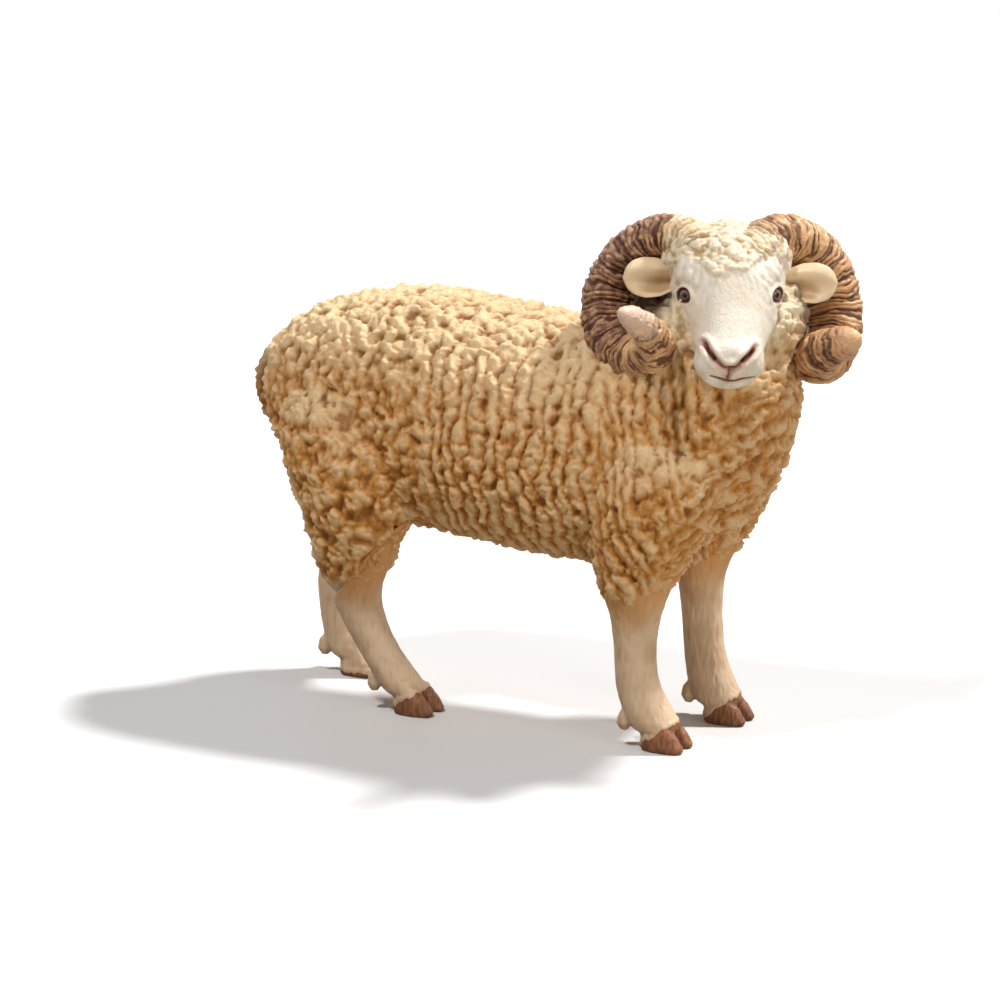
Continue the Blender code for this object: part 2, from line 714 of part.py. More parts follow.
LEGS = (
    ("hindleg_right", HIND_RIGHT_SECTION_SHARES, -1, HAUNCH_LENGTH, HAUNCH_WIDTH),
    ("hindleg_left", HIND_LEFT_SECTION_SHARES, 1, HAUNCH_LENGTH, HAUNCH_WIDTH),
    ("foreleg_right", FORE_RIGHT_SECTION_SHARES, -1, SHOULDER_LENGTH, SHOULDER_WIDTH),
    ("foreleg_left", FORE_LEFT_SECTION_SHARES, 1, SHOULDER_LENGTH, SHOULDER_WIDTH),
)


def main():
    clear_scene()
    body = build_body(material("fleece", (0.66, 0.47, 0.22), 0.5))
    body_seat = grown_copy(body, rounded=False)
    pieces = [body]
    for name, sections, side, length, width in LEGS:
        finish = material(f"{name}_paint", (0.74, 0.60, 0.42), 0.5)
        leg = build_leg(name, sections, side, length, width, body_seat, finish)
        fit_leg(leg, body, sections, side)
        pieces.append(leg)
    tail = build_tail(material("tail_fleece", (0.60, 0.42, 0.20), 0.5))
    combine(tail, body_seat, "DIFFERENCE")
    fit_tail(tail, body)
    head = build_head(material("face", (0.82, 0.72, 0.56), 0.45))
    head_seat = grown_copy(head)
    detail_head(head, body_seat)
    upward = neck_point(-1) - neck_point(-2)
    start = neck_point(-1) + upward.normalized() * SPIGOT_LENGTH / 3
    fit_peg(head, body, start, -upward, SPIGOT_ACROSS, SPIGOT_LENGTH)
    pieces += [tail, head]
    for side, word in ((-1, "right"), (1, "left")):
        name = f"horn_{word}"
        horn = build_horn(name, side, head, material(f"{name}_paint", (0.33, 0.18, 0.09), 0.45))
        horn_seat = grown_copy(horn, rounded=False)
        combine(horn, head_seat, "DIFFERENCE")
        combine(horn, body_seat, "DIFFERENCE")
        fit_horn(name, side, horn, head)
        name = f"ear_{word}"
        ear = build_ear(name, side, head, material(f"{name}_paint", (0.80, 0.66, 0.48), 0.4))
        combine(ear, head_seat, "DIFFERENCE")
        combine(ear, horn_seat, "DIFFERENCE")
        combine(ear, body_seat, "DIFFERENCE")
        fit_ear(side, ear, head)
        pieces += [horn, ear]
    centre_on_floor(pieces)


main()
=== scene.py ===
"""The dressed toy ram: curly fleece, coiled ridged horns, sculpted face and cloven hooves.

The fleece, the horns, the face and the legs are modelled skins over the castings of the frame,
with painted finishes from nodes. Sculpting sizes are in millimetres, the scene is in metres.
"""

import math

import bmesh
import bpy
import numpy as np
from mathutils import Matrix, Vector, noise
from mathutils.bvhtree import BVHTree


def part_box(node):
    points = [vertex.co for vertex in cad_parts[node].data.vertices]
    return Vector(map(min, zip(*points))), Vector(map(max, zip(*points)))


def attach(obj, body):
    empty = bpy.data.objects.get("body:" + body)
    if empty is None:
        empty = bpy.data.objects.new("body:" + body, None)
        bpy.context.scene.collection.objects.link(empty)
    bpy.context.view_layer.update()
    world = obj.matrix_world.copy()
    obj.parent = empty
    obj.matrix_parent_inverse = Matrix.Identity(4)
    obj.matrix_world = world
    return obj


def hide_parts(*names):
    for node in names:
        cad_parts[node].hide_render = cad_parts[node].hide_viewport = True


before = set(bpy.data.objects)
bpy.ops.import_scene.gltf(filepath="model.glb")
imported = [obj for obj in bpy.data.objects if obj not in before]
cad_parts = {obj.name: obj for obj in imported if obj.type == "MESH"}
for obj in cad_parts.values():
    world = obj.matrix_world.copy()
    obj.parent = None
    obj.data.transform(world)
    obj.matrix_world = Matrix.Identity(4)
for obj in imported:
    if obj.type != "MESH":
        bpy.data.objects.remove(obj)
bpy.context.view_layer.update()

bl_info = {
    "name": "Toy Ram",
    "version": (1, 0, 0),
    "blender": (4, 5, 0),
    "location": "3D View > Sidebar > Ram",
    "description": "Dresses the castings of a toy ram in fleece, horn, hair and paint",
    "category": "Object",
}

MM = 0.001
SIDES = {"right": -1, "left": 1}

# The skull's middle and the way that the face looks, from which every place on the head is given.
SKULL = Vector((0.032934, 0.002645, 0.0780))
FACE_YAW = math.radians(-62)
HEAD_PLACE = Matrix.Translation(SKULL) @ Matrix.Rotation(FACE_YAW, 4, "Z")


def picture_colour(red, green, blue):
    """A colour as a picture shows it, 0 to 255, as the light that a material reflects."""
    shares = [channel / 255 for channel in (red, green, blue)]
    return tuple(
        share / 12.92 if share < 0.04045 else ((share + 0.055) / 1.055) ** 2.4
        for share in shares
    )


# Numbers over many points at once


def ramp(value, low, high):
    """0 below low and 1 above high, with a smooth rise between them."""
    share = np.clip((value - low) / (high - low), 0, 1)
    return share * share * (3 - 2 * share)


def bell(distance, width):
    return np.exp(-((distance / width) ** 2))


def cloud(points, size, seed):
    """Soft noise from about -1 to 1, with lumps of the size given."""
    return np.array([noise.noise(place) for place in (points / size + seed).tolist()])


def cells(points, size, seed):
    """How far each point is from the nearest of scattered middles, in cells."""
    return np.array([noise.voronoi(place)[0][0] for place in (points / size + seed).tolist()])


def wandering(points, size, reach, seed=0.0):
    """The points, each pushed about by soft noise."""
    moves = [cloud(points, size, seed + step) for step in (0.0, 17.3, 41.9)]
    return points + reach * np.stack(moves, axis=1)


def line_distance(places, corners):
    """The distance of flat places from a line through corners."""
    nearest = np.full(len(places), np.inf)
    for start, end in zip(corners, corners[1:]):
        start, end = np.array(start), np.array(end)
        along = end - start
        share = np.clip((places - start) @ along / (along @ along), 0, 1)
        gap = places - (start + share[:, None] * along)
        nearest = np.minimum(nearest, np.hypot(gap[:, 0], gap[:, 1]))
    return nearest


# Meshes

GRAINS = {"fleece": (0.6, 0.31), "shank": (0.35, 0.22), "head": (0.35, 0.2)}
EGG_SUBDIVISIONS = 4


def grain_of(skin):
    quick, full = GRAINS[skin]
    return full


def read_points(mesh, kind="co"):
    """The places of a mesh's corners, or another vector that they have."""
    flat = np.empty(len(mesh.vertices) * 3, np.float32)
    mesh.vertices.foreach_get(kind, flat)
    return flat.reshape(-1, 3).astype(float)


def write_points(mesh, points):
    mesh.vertices.foreach_set("co", points.astype(np.float32).ravel())
    mesh.update()


def read_normals(mesh):
    return read_points(mesh, "normal")


def write_value(mesh, name, values):
    layer = mesh.attributes.get(name) or mesh.attributes.new(name, "FLOAT", "POINT")
    layer.data.foreach_set("value", np.asarray(values, np.float32))


def read_value(mesh, name):
    values = np.empty(len(mesh.vertices), np.float32)
    mesh.attributes[name].data.foreach_get("value", values)
    return values.astype(float)


def blurred(mesh, values, rounds, share=0.5):
    """Values or points at a mesh's corners, evened out along its edges."""
    flat = np.empty(len(mesh.edges) * 2, np.int32)
    mesh.edges.foreach_get("vertices", flat)
    first, second = flat.reshape(-1, 2).T
    count = len(mesh.vertices)
    valence = np.bincount(first, minlength=count) + np.bincount(second, minlength=count)
    columns = values.reshape(count, -1)
    for _ in range(rounds):
        around = [
            np.bincount(first, weights=column[second], minlength=count)
            + np.bincount(second, weights=column[first], minlength=count)
            for column in columns.T
        ]
        mean = np.stack(around, axis=1) / np.maximum(valence, 1)[:, None]
        columns = columns + share * (mean - columns)
    return columns.reshape(values.shape)


def object_of(name, mesh):
    made = bpy.data.objects.new(name, mesh)
    bpy.context.scene.collection.objects.link(made)
    return made


def mesh_of(name, shape):
    mesh = bpy.data.meshes.new(name)
    shape.to_mesh(mesh)
    shape.free()
    return mesh


def clay(name, mesh, grain, rounds, swell=0.0):
    """A fine even skin over rough forms that may overlap, swollen a little and evened out."""
    rough = object_of(f"{name}_rough", mesh)
    if swell:
        grow = rough.modifiers.new("swell", "DISPLACE")
        grow.strength = swell * MM
        grow.mid_level = 0
    skin = rough.modifiers.new("skin", "REMESH")
    skin.mode = "VOXEL"
    skin.voxel_size = grain * MM
    graph = bpy.context.evaluated_depsgraph_get()
    made = bpy.data.meshes.new_from_object(rough.evaluated_get(graph))
    made.name = name
    bpy.data.objects.remove(rough)
    write_points(made, blurred(made, read_points(made), rounds))
    return made


def close_openings(shape):
    """Fill each open edge with a fan of faces."""
    edges = [edge for edge in shape.edges if edge.is_boundary]
    filled = bmesh.ops.holes_fill(shape, edges=edges, sides=0)
    bmesh.ops.poke(shape, faces=filled["faces"])
    bmesh.ops.recalc_face_normals(shape, faces=shape.faces)
    if shape.calc_volume(signed=True) < 0:
        bmesh.ops.reverse_faces(shape, faces=shape.faces)


def castings(nodes):
    """The frame's own meshes as one, with their loose triangles joined."""
    shape = bmesh.new()
    for node in nodes:
        shape.from_mesh(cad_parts[node].data)
    bmesh.ops.remove_doubles(shape, verts=shape.verts, dist=MM / 1000)
    return shape


def add_egg(shape, middle, radii, tilt, place=None):
    """A stretched ball in millimetres, tilted nose down by some degrees, set in a place."""
    made = bmesh.ops.create_icosphere(shape, subdivisions=EGG_SUBDIVISIONS, radius=1)
    turn = Matrix.Rotation(math.radians(tilt), 4, "Y")
    spot = Matrix.Translation(Vector(middle) * MM)
    size = Matrix.Diagonal((*[radius * MM for radius in radii], 1))
    whole = (place or Matrix.Identity(4)) @ spot @ turn @ size
    bmesh.ops.transform(shape, matrix=whole, verts=made["verts"])


def finish_piece(piece, nodes, material):
    """Give the piece its paint and smooth shading, hide the castings that it covers, and hang it on
    the root.
    """
    piece.data.materials.clear()
    piece.data.materials.append(material)
    piece.data.shade_smooth()
    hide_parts(*nodes)
    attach(piece, "root")


# Paint

# How every paint shines.
COAT_ROUGHNESS = 0.12
SPECULAR = 0.28


class Value:
    """A number in a material. Python's own signs add the Math nodes."""

    def __init__(self, paint, socket):
        self.paint = paint
        self.socket = socket

    def sum(self, operation, *numbers):
        return self.paint.node("Math", {"operation": operation}, dict(enumerate(numbers)))

    def __add__(self, other):
        return self.sum("ADD", self, other)

    def __sub__(self, other):
        return self.sum("SUBTRACT", self, other)

    def __rsub__(self, other):
        return self.sum("SUBTRACT", other, self)

    def __mul__(self, other):
        return self.sum("MULTIPLY", self, other)

    __radd__ = __add__
    __rmul__ = __mul__


class Paint:
    """A material, whose look is put together from nodes and expressions."""

    def __init__(self, name):
        self.material = bpy.data.materials.new(name)
        self.material.use_nodes = True
        self.tree = self.material.node_tree
        self.shader = self.tree.nodes["Principled BSDF"]
        self.shader.inputs["Coat Roughness"].default_value = COAT_ROUGHNESS
        self.shader.inputs["Specular IOR Level"].default_value = SPECULAR
        self.place = self.node("TexCoord", output="Object")

    def node(self, kind, settings=None, inputs=None, output=0):
        """Any shader node, with its settings, then its inputs' values or links."""
        made = self.tree.nodes.new(f"ShaderNode{kind}")
        for name, value in (settings or {}).items():
            setattr(made, name, value)
        for name, value in (inputs or {}).items():
            self.feed(made.inputs[name], value)
        return Value(self, made.outputs[output])

    def feed(self, socket, value):
        if isinstance(value, Value):
            self.tree.links.new(value.socket, socket)
        elif socket.type == "RGBA":
            socket.default_value = (*value, 1)
        else:
            socket.default_value = value

    def value_of(self, name):
        """A number that the mesh carries at its corners."""
        return self.node("Attribute", {"attribute_name": name}, output="Fac")

    def grain(self, size, stretch=(1, 1, 1), detail=3, twist=0.0):
        """Noise of a size in millimetres, from 0 to 1."""
        scale = [1 / (size * MM * axis) for axis in stretch]
        spread = self.node("VectorMath", {"operation": "MULTIPLY"}, {0: self.place, 1: scale})
        inputs = {"Vector": spread, "Scale": 1.0, "Detail": detail, "Distortion": twist}
        return self.node("TexNoise", None, inputs)

    def between(self, value, low, high):
        """0 where the value is below low, 1 above high, smooth between them."""
        return self.node(
            "MapRange",
            {"interpolation_type": "SMOOTHSTEP"},
            {"Value": value, "From Min": low, "From Max": high},
        )

    def mix(self, share, first, second):
        """A share of the second colour in the first."""
        made = self.tree.nodes.new("ShaderNodeMix")
        made.data_type = "RGBA"
        self.feed(made.inputs[0], share)
        self.feed(made.inputs[6], first)
        self.feed(made.inputs[7], second)
        return Value(self, made.outputs[2])

    def bump(self, height, depth, strength):
        """Relief of a depth in millimetres."""
        inputs = {"Height": height, "Distance": depth * MM, "Strength": strength}
        return self.node("Bump", None, inputs)

    def wear(self, **looks):
        """Feed the shader's inputs by their names, and give back the finished material."""
        for name, value in looks.items():
            self.feed(self.shader.inputs[name.replace("_", " ").title()], value)
        return self.material


# What a user would change


def length_choice(name, description, millimetres):
    return bpy.props.FloatProperty(
        name=name, description=description, default=millimetres * MM, unit="LENGTH"
    )


def colour_choice(name, description, *channels):
    """A colour that starts as a picture shows it, from 0 to 255."""
    return bpy.props.FloatVectorProperty(
        name=name, description=description, subtype="COLOR", min=0, max=1,
        default=picture_colour(*channels),
    )


class RamFleeceSettings(bpy.types.PropertyGroup):
    curl_size: length_choice("Curl size", "Width of one curl", 2.3)
    relief: length_choice("Relief", "Depth of the curls", 0.92)
    straw: colour_choice("Straw", "Colour of the fleece", 202, 138, 62)
    # The tip colour is also painted highlight on crests and upward faces; the hollow colour is
    # partly own paint, partly painted shade.
    tip: colour_choice("Tip", "Colour of the curls' tips", 242, 214, 168)
    hollow: colour_choice("Hollow", "Colour between the curls", 146, 92, 40)


class RamHornSettings(bpy.types.PropertyGroup):
    ridge_spacing: length_choice("Ridge spacing", "From ridge to ridge", 1.05)
    relief: length_choice("Relief", "Depth of the ridges", 0.58)
    thickness: length_choice("Thickness", "Size that the taper is given of", 7.0)
    crest: colour_choice("Crest", "Colour of the ridges", 222, 174, 126)
    # The recess colour is partly own paint, partly painted shade in the grooves.
    recess: colour_choice("Recess", "Colour between the ridges", 70, 33, 16)


class RamHeadSettings(bpy.types.PropertyGroup):
    eye_diameter: length_choice("Eye diameter", "Size of the eyeball", 2.9)
    hair: colour_choice("Hair", "Colour of the face", 238, 227, 211)
    blush: colour_choice("Blush", "Colour about the nose", 184, 124, 98)
    line: colour_choice("Line", "Colour of nostrils, lips and lids", 70, 34, 24)


class RamLegSettings(bpy.types.PropertyGroup):
    hair: colour_choice("Hair", "Colour of the lower legs", 218, 188, 156)
    hoof: colour_choice("Hoof", "Colour of the hooves", 156, 102, 68)


# Fleece

# Where the wool ends on each leg: the height at which it ends behind, how far forward it starts
# to rise and how steeply, and how wide the change is.
HEMS = {
    "hindleg_right": (22.6, -28.3, 1.10, 2.6),
    "hindleg_left": (23.0, -43.8, 1.00, 2.6),
    "foreleg_right": (25.2, 23.2, 0.45, 1.8),
    "foreleg_left": (27.2, 26.2, 0.35, 1.8),
}
# Cuts across a leg: the height over its hem, and whether the cut slopes as the hem does.
WOOL_CUTS = ((-3.6, True), (-3.6, False))
SHANK_CUTS = ((13.5, False), (4.5, True))
# How much lower the bare leg lies than the wool, and the tail than the rump.
HEM_DROP = 1.3
TAIL_DROP = 0.3
# Four times the depth of the groove about the tail.
TAIL_GROOVE = 3.4
FLEECED = ("body", "foreleg_right", "foreleg_left", "hindleg_right", "hindleg_left", "tail")
# The wool behind the head, under the cheeks and inside the horns' coils: middle in the head,
# radii and tilt.
RUFF = (
    ((-2.0, 0, -4.2), (7.6, 11.2, 8.6), 10),
    ((3.2, -7.4, -8.0), (5.0, 3.8, 6.2), 20),
    ((3.2, 7.4, -8.0), (5.0, 3.8, 6.2), 20),
    ((-1.0, -12.0, -6.8), (4.0, 4.2, 4.6), 0),
    ((1.0, 9.6, -6.0), (5.0, 3.4, 6.2), 0),
)
# A small flap of wool between the belly and the hind legs: middle, radii and tilt.
FLANK_FLAP = ((-21.9, 4.0, 36.4), (3.6, 2.6, 4.6), 20)
# Painted shade inside the horns' coils: where the wool there is painted dark brown, in the head,
# and how strongly.
COIL_SHADE = (((0.5, -15.0, -4.5), 1.0), ((-1.0, 14.5, -4.5), 0.7))
# How far from its middle that painted shade ends and is full, and the same for the pale wool
# about the skull.
COIL_SHADE_REACH = (8.5, 5.0)
PALE_REACH = (19.0, 11.0)
# Where the smooth normals are kept while the fleece is cut, so that the cuts don't show.
SOFT_NAMES = ("soft_x", "soft_y", "soft_z")
# Crest and hollow of the pale wool, and the dark brown of the painted shade in the horns' coils
# and of the darker tail.
PALE_WOOL = ((0.82, 0.70, 0.48), (0.50, 0.34, 0.16))
SHADE_AND_TAIL_BROWN = (0.10, 0.05, 0.025)


def wool_amount(points, leg):
    """How far above the wool's lower edge each point of a leg is, in millimetres."""
    height, start, slope, _ = HEMS[leg]
    locks = 1.0 * cloud(points * (1, 1, 0.35), 1.5, 5.0) + 0.8 * cloud(points, 4.0, 9.0)
    edge = height + slope * np.maximum(points[:, 0] - start, 0)
    return points[:, 2] - edge + locks


def cut_leg(shape, leg, cuts, **cleared):
    """Cut a leg's shape across, and clear away the side that is named."""
    height, start, slope, _ = HEMS[leg]
    for rise, sloping in cuts:
        everything = [*shape.verts, *shape.edges, *shape.faces]
        spot = Vector((start, 0, height + rise)) * MM
        across = (-slope if sloping else 0, 0, 1)
        bmesh.ops.bisect_plane(shape, geom=everything, plane_co=spot, plane_no=across, **cleared)


def pleats(across, width):
    """Soft ridges of a width, from 0 in their valleys to 1 on their crests."""
    beat = across / width
    return 1 - 2 * np.abs(beat - np.floor(beat) - 0.5)


def curled(points, size, seed, stretch=(1, 1, 1)):
    """Curly wool: round lumps with creases between them, large and small, about 0 on average."""
    stray = wandering(points, size * 1.2, size * 0.55, seed) * stretch
    lumps = np.abs(cloud(stray, size * 1.3, seed + 1))
    frizz = np.abs(cloud(stray, size * 0.6, seed + 3))
    return 1.65 * lumps + 0.9 * frizz - 0.45


def beads(across, along, width, length):
    """Rows of beads of a width and length, each row shifted against the row before."""
    shift = 43.7 * np.sin(12.99 * np.floor(across / width))
    return np.sqrt(pleats(across, width)) * (0.45 + 0.55 * np.sqrt(pleats(along + shift, length)))


def knobbly(points, size, seed=0.0):
    """Round curled knobs of a size, as on the back and the cap, from about -1 to 1."""
    stray = wandering(points, size * 1.13, size * 0.48, seed + 50.0) * (1, 1, 0.85)
    near = cells(stray, size * 0.9, seed + 55.0)
    knobs = 0.9 * (1 - np.clip(near * 1.25, 0, 1) ** 2) - 0.5
    return knobs + 0.8 * curled(points, size * 0.9, seed, (1, 1, 0.85))


def locks_at(points, size, weights):
    """The height of the fleece where rump, barrel, shoulder and chest have their own lay."""
    x, y, z = points.T
    rump = knobbly(points, size)
    drift = 1.6 * cloud(points * (1, 1, 0.6), 5.0, 3.0) + 0.9 * cloud(points, 2.4, 7.0)
    drift += 0.35 * cloud(points, 1.0, 8.0)
    rise = 1.5 * cloud(points, 3.0, 9.0)
    barrel = 1.5 * (beads(x + drift, z + rise, size * 1.13, size * 1.4) - 0.45)
    barrel += 0.55 * curled(points, size * 0.74, 20.0, (1.1, 1, 0.8))
    drift = 2.0 * cloud(points * (1, 1, 0.5), 6.0, 13.0) + 0.8 * cloud(points, 2.0, 17.0)
    drift += 0.3 * cloud(points, 1.0, 18.0)
    shoulder = beads(x + 0.22 * (z - 50) + drift, z + 1.3 * rise, size, size * 2.4) - 0.5
    shoulder = 1.2 * shoulder + 0.6 * curled(points, size * 0.7, 40.0, (1.15, 1, 0.55))
    drift = 1.8 * cloud(points * (0.6, 0.6, 1), 6.0, 23.0) + 0.8 * cloud(points, 1.9, 27.0)
    drape = z + 0.035 * (y - 0.7) ** 2 - 0.12 * x + drift
    chest = 0.9 * (beads(drape, y + rise, size * 1.4, size * 2.6) - 0.5)
    chest += 0.8 * curled(points, size * 0.83, 60.0, (0.75, 0.75, 1.1))
    kinds = np.stack([rump, barrel, shoulder, chest])
    return (kinds * weights).sum(axis=0)


def fleece_relief(points, normals, size):
    """The curls, folds and strands of the fleece at each point, leaning the way that they lie."""
    x = points[:, 0]
    up, side = normals[:, 2], np.abs(normals[:, 1])
    low_back = 1 - ramp(up, 0.55, 0.85)
    barrel = ramp(x, -18, -13) * (1 - ramp(x, 15, 20)) * ramp(side, 0.2, 0.55) * low_back
    fore = ramp(x, 15, 20) * (1 - ramp(up, 0.6, 0.85))
    chest = fore * ramp(normals[:, 0] - 0.3 * side, 0.1, 0.55)
    weights = np.stack([1 - barrel - fore, barrel, fore - chest, chest])
    lay = np.array((-0.25, 0, -0.95))
    lay = lay - normals * (normals @ lay)[:, None]
    height = locks_at(points, size, weights)
    height = locks_at(points + lay * (height * 0.2 * size)[:, None], size, weights)
    pits = ramp(cloud(wandering(points, 2.0, 0.9, 80.0), 1.9, 85.0), -0.2, -0.6)
    return height - 0.5 * pits


def region_of(points, mesh):
    """Which casting each point belongs to, as numbers into FLEECED."""
    nearness = []
    for node in FLEECED:
        low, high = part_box(node)
        inside = np.all((points > np.array(low) - 3 * MM) & (points < np.array(high) + 3 * MM), 1)
        shape = castings([node])
        tree = BVHTree.FromBMesh(shape)
        shape.free()
        gaps = np.full(len(points), 4 * MM)
        for place in np.flatnonzero(inside):
            gaps[place] = min(tree.find_nearest(points[place])[3], 4 * MM)
        nearness.append(blurred(mesh, gaps, 12))
    return np.argmin(np.stack(nearness), axis=0)


def fleece_clay():
    """The trunk, legs and tail as one smooth body, with the wool that fills in behind the head."""
    shape = castings(FLEECED)
    for egg in RUFF:
        add_egg(shape, *egg, place=HEAD_PLACE)
    add_egg(shape, *FLANK_FLAP)
    return clay("fleece", mesh_of("fleece", shape), grain_of("fleece"), rounds=14, swell=0.26)


class RAM_OT_fleece(bpy.types.Operator):
    """Model the fleece of the trunk, the upper legs and the tail"""

    bl_idname = "ram.fleece"
    bl_label = "Fleece"

    def execute(self, context):
        settings = context.scene.ram_fleece
        mesh = fleece_clay()
        points = read_points(mesh)
        regions = region_of(points, mesh)
        places = points / MM
        normals = read_normals(mesh)
        relief = fleece_relief(places, normals, settings.curl_size / MM)
        wool = np.ones(len(points))
        thickness = np.zeros(len(points))
        for leg, (_, _, _, width) in HEMS.items():
            own = regions == FLEECED.index(leg)
            amount = wool_amount(places[own], leg)
            wool[own] = ramp(amount, -width, width * 1.5)
            thickness[own] = -HEM_DROP * (1 - ramp(amount, -width, width))
        height = (relief - 0.1) * settings.relief / MM * (0.2 + 0.8 * wool) + thickness
        tail = blurred(mesh, (regions == FLEECED.index("tail")).astype(float), 6)
        height -= TAIL_DROP * tail + TAIL_GROOVE * tail * (1 - tail)
        ready = places + normals * height[:, None]
        write_points(mesh, ready * MM)
        write_value(mesh, "hollow", ramp(relief, 0.9, -0.9))
        write_value(mesh, "wool", wool)
        gap = np.linalg.norm(places - np.array(SKULL) / MM, axis=1)
        write_value(mesh, "pale", ramp(gap + 1.5 * cloud(places, 3.0, 90.0), *PALE_REACH))
        # Painted top light: how far each point faces up, so that the fleece is painted paler at its
        # top.
        write_value(mesh, "painted_top_light", ramp(normals[:, 2], -0.1, 0.8))
        # Painted shade: the wool inside the horns' coils is painted dark brown; the tail is also
        # darkened.
        coil_shade_tail_dark = np.zeros(len(places))
        for middle, strength in COIL_SHADE:
            gap = np.linalg.norm(places - np.array(HEAD_PLACE @ (Vector(middle) * MM)) / MM, axis=1)
            coil_shade_tail_dark = np.maximum(coil_shade_tail_dark, strength * ramp(gap, *COIL_SHADE_REACH))
        write_value(mesh, "coil_shade_tail_dark", np.maximum(coil_shade_tail_dark, 0.4 * tail))
        material = fleece_paint(settings)
        normals = read_normals(mesh)
        for name, column in zip(SOFT_NAMES, normals.T):
            write_value(mesh, name, column)
        faces = np.empty(len(mesh.polygons) * 4, np.int32)
        mesh.polygons.foreach_get("vertices", faces)
        owners = regions[faces.reshape(-1, 4)[:, 0]]
        for number, node in enumerate(FLEECED):
            self.cut_out(mesh, node, owners == number, material)
        return {"FINISHED"}

    def cut_out(self, mesh, node, own, material):
        """One casting's share of the fleece, closed where it joins the others."""
        shape = bmesh.new()
        shape.from_mesh(mesh)
        others = [face for face, keep in zip(shape.faces, own.tolist()) if not keep]
        bmesh.ops.delete(shape, geom=others, context="FACES")
        if node in HEMS:
            cut_leg(shape, node, WOOL_CUTS, clear_inner=True)
        close_openings(shape)
        made = mesh_of(f"fleece_{node}", shape)
        soft = np.stack([read_value(made, name) for name in SOFT_NAMES], 1)
        piece = object_of(f"fleece_{node}", made)
        finish_piece(piece, [node], material)
        made.normals_split_custom_set_from_vertices(soft.tolist())
        for name in SOFT_NAMES:
            made.attributes.remove(made.attributes[name])


def fleece_paint(settings):
    paint = Paint("fleece_paint")
    hollow = paint.value_of("hollow")
    wool = paint.value_of("wool")
    speck = paint.grain(0.7, twist=0.6)
    depth = hollow + (speck - 0.5) * 0.3
    # Painted top light: the straw is painted toward the tip colour where the fleece faces up.
    painted_top_light = paint.value_of("painted_top_light")
    straw = paint.mix(painted_top_light * 0.75, settings.straw, settings.tip)
    # Crests painted toward the tip colour, partly painted highlight; hollows painted darker, partly
    # painted shade. The pale wool's hollows are darker the same way.
    colour = paint.mix(paint.between(depth, 0.60, 0.10) * 0.55, straw, settings.tip)
    colour = paint.mix(paint.between(depth, 0.45, 1.0) * 0.9, colour, settings.hollow)
    cream = paint.mix(paint.between(depth, 0.35, 1.0), *PALE_WOOL)
    colour = paint.mix(paint.value_of("pale"), colour, cream)
    # Painted shade inside the horns' coils, and the darker tail, in dark brown.
    colour = paint.mix(paint.value_of("coil_shade_tail_dark"), colour, SHADE_AND_TAIL_BROWN)
    bare = bpy.context.scene.ram_legs.hair
    colour = paint.mix(paint.between(wool, 0.75, 0.1), colour, bare)
    strands = paint.grain(0.38, stretch=(1, 1, 1.7), twist=1.2)
    relief = paint.bump(strands, 0.26, 0.9)
    return paint.wear(base_color=colour, roughness=0.24 + hollow * 0.36, normal=relief)


# Legs

# Painted shade between the hairs, stains on the legs and streaks on the hooves.
LEG_SHADE = (0.42, 0.25, 0.13)
LEG_STAIN = (0.50, 0.31, 0.18)
HOOF_STREAK = (0.10, 0.050, 0.032)


class RAM_OT_shanks(bpy.types.Operator):
    """Model the bare lower legs with their hair, dewclaws and hooves"""

    bl_idname = "ram.shanks"
    bl_label = "Lower legs"

    def execute(self, context):
        material = shank_paint(context.scene.ram_legs)
        for node in HEMS:
            shape = castings([node])
            cut_leg(shape, node, SHANK_CUTS, clear_outer=True)
            close_openings(shape)
            mesh = clay(f"shank_{node}", mesh_of(node, shape), grain_of("shank"), rounds=5)
            self.sculpt(mesh, node)
            piece = object_of(f"shank_{node}", mesh)
            finish_piece(piece, [node], material)
        return {"FINISHED"}

    def sculpt(self, mesh, node):
        """Short hair down the leg, a rim over the hoof and streaks on it."""
        places = read_points(mesh) / MM
        normals = read_normals(mesh)
        spikes = 0.5 * cloud(places * (1, 1, 0.3), 0.8, 3.0) + 0.5 * cloud(places, 2.5, 6.0)
        toe = places[:, 0].max()
        rim = places[:, 2] - np.interp(toe - places[:, 0], (0, 1.5, 5.5, 7.5), (5.6, 5.2, 2.2, 0.8))
        rim -= 1.2 * spikes
        horny = ramp(rim, 0.35, -0.35)
        hair = cloud(places * (1, 1, 0.2), 0.6, 8.0) + 0.5 * cloud(places, 2.6, 12.0)
        streaks = cloud(places * (1, 1, 0.35), 0.7, 2.0)
        height = 0.10 * hair * (1 - horny) + 0.10 * streaks * horny + 0.16 * bell(rim - 0.5, 0.5)
        height = height * ramp(places[:, 2], 0.15, 0.6)
        write_points(mesh, (places + normals * height[:, None]) * MM)
        write_value(mesh, "horny", horny)
        write_value(mesh, "hair", hair)
        write_value(mesh, "wool", ramp(wool_amount(places, node), -7.0, 2.0))


def shank_paint(settings):
    paint = Paint("shank_paint")
    horny = paint.value_of("horny")
    hair = paint.value_of("hair")
    wool = paint.value_of("wool")
    streak = paint.grain(0.5, stretch=(1, 1, 4), detail=4)
    stain = paint.grain(5.0, detail=2)
    # Painted shade: darker where the hair's relief is low, between the hairs.
    colour = paint.mix(paint.between(hair, 0.0, -1.0) * 0.5, settings.hair, LEG_SHADE)
    colour = paint.mix(paint.between(stain, 0.45, 0.7) * 0.5, colour, LEG_STAIN)
    colour = paint.mix(wool * 0.8, colour, bpy.context.scene.ram_fleece.straw)
    hoof = paint.mix(paint.between(streak, 0.38, 0.62) * 0.6, settings.hoof, HOOF_STREAK)
    colour = paint.mix(paint.between(horny, 0.3, 0.7), colour, hoof)
    relief = paint.bump(streak, 0.18, 0.8)
    return paint.wear(base_color=colour, roughness=0.5 - horny * 0.12, normal=relief)


# Head

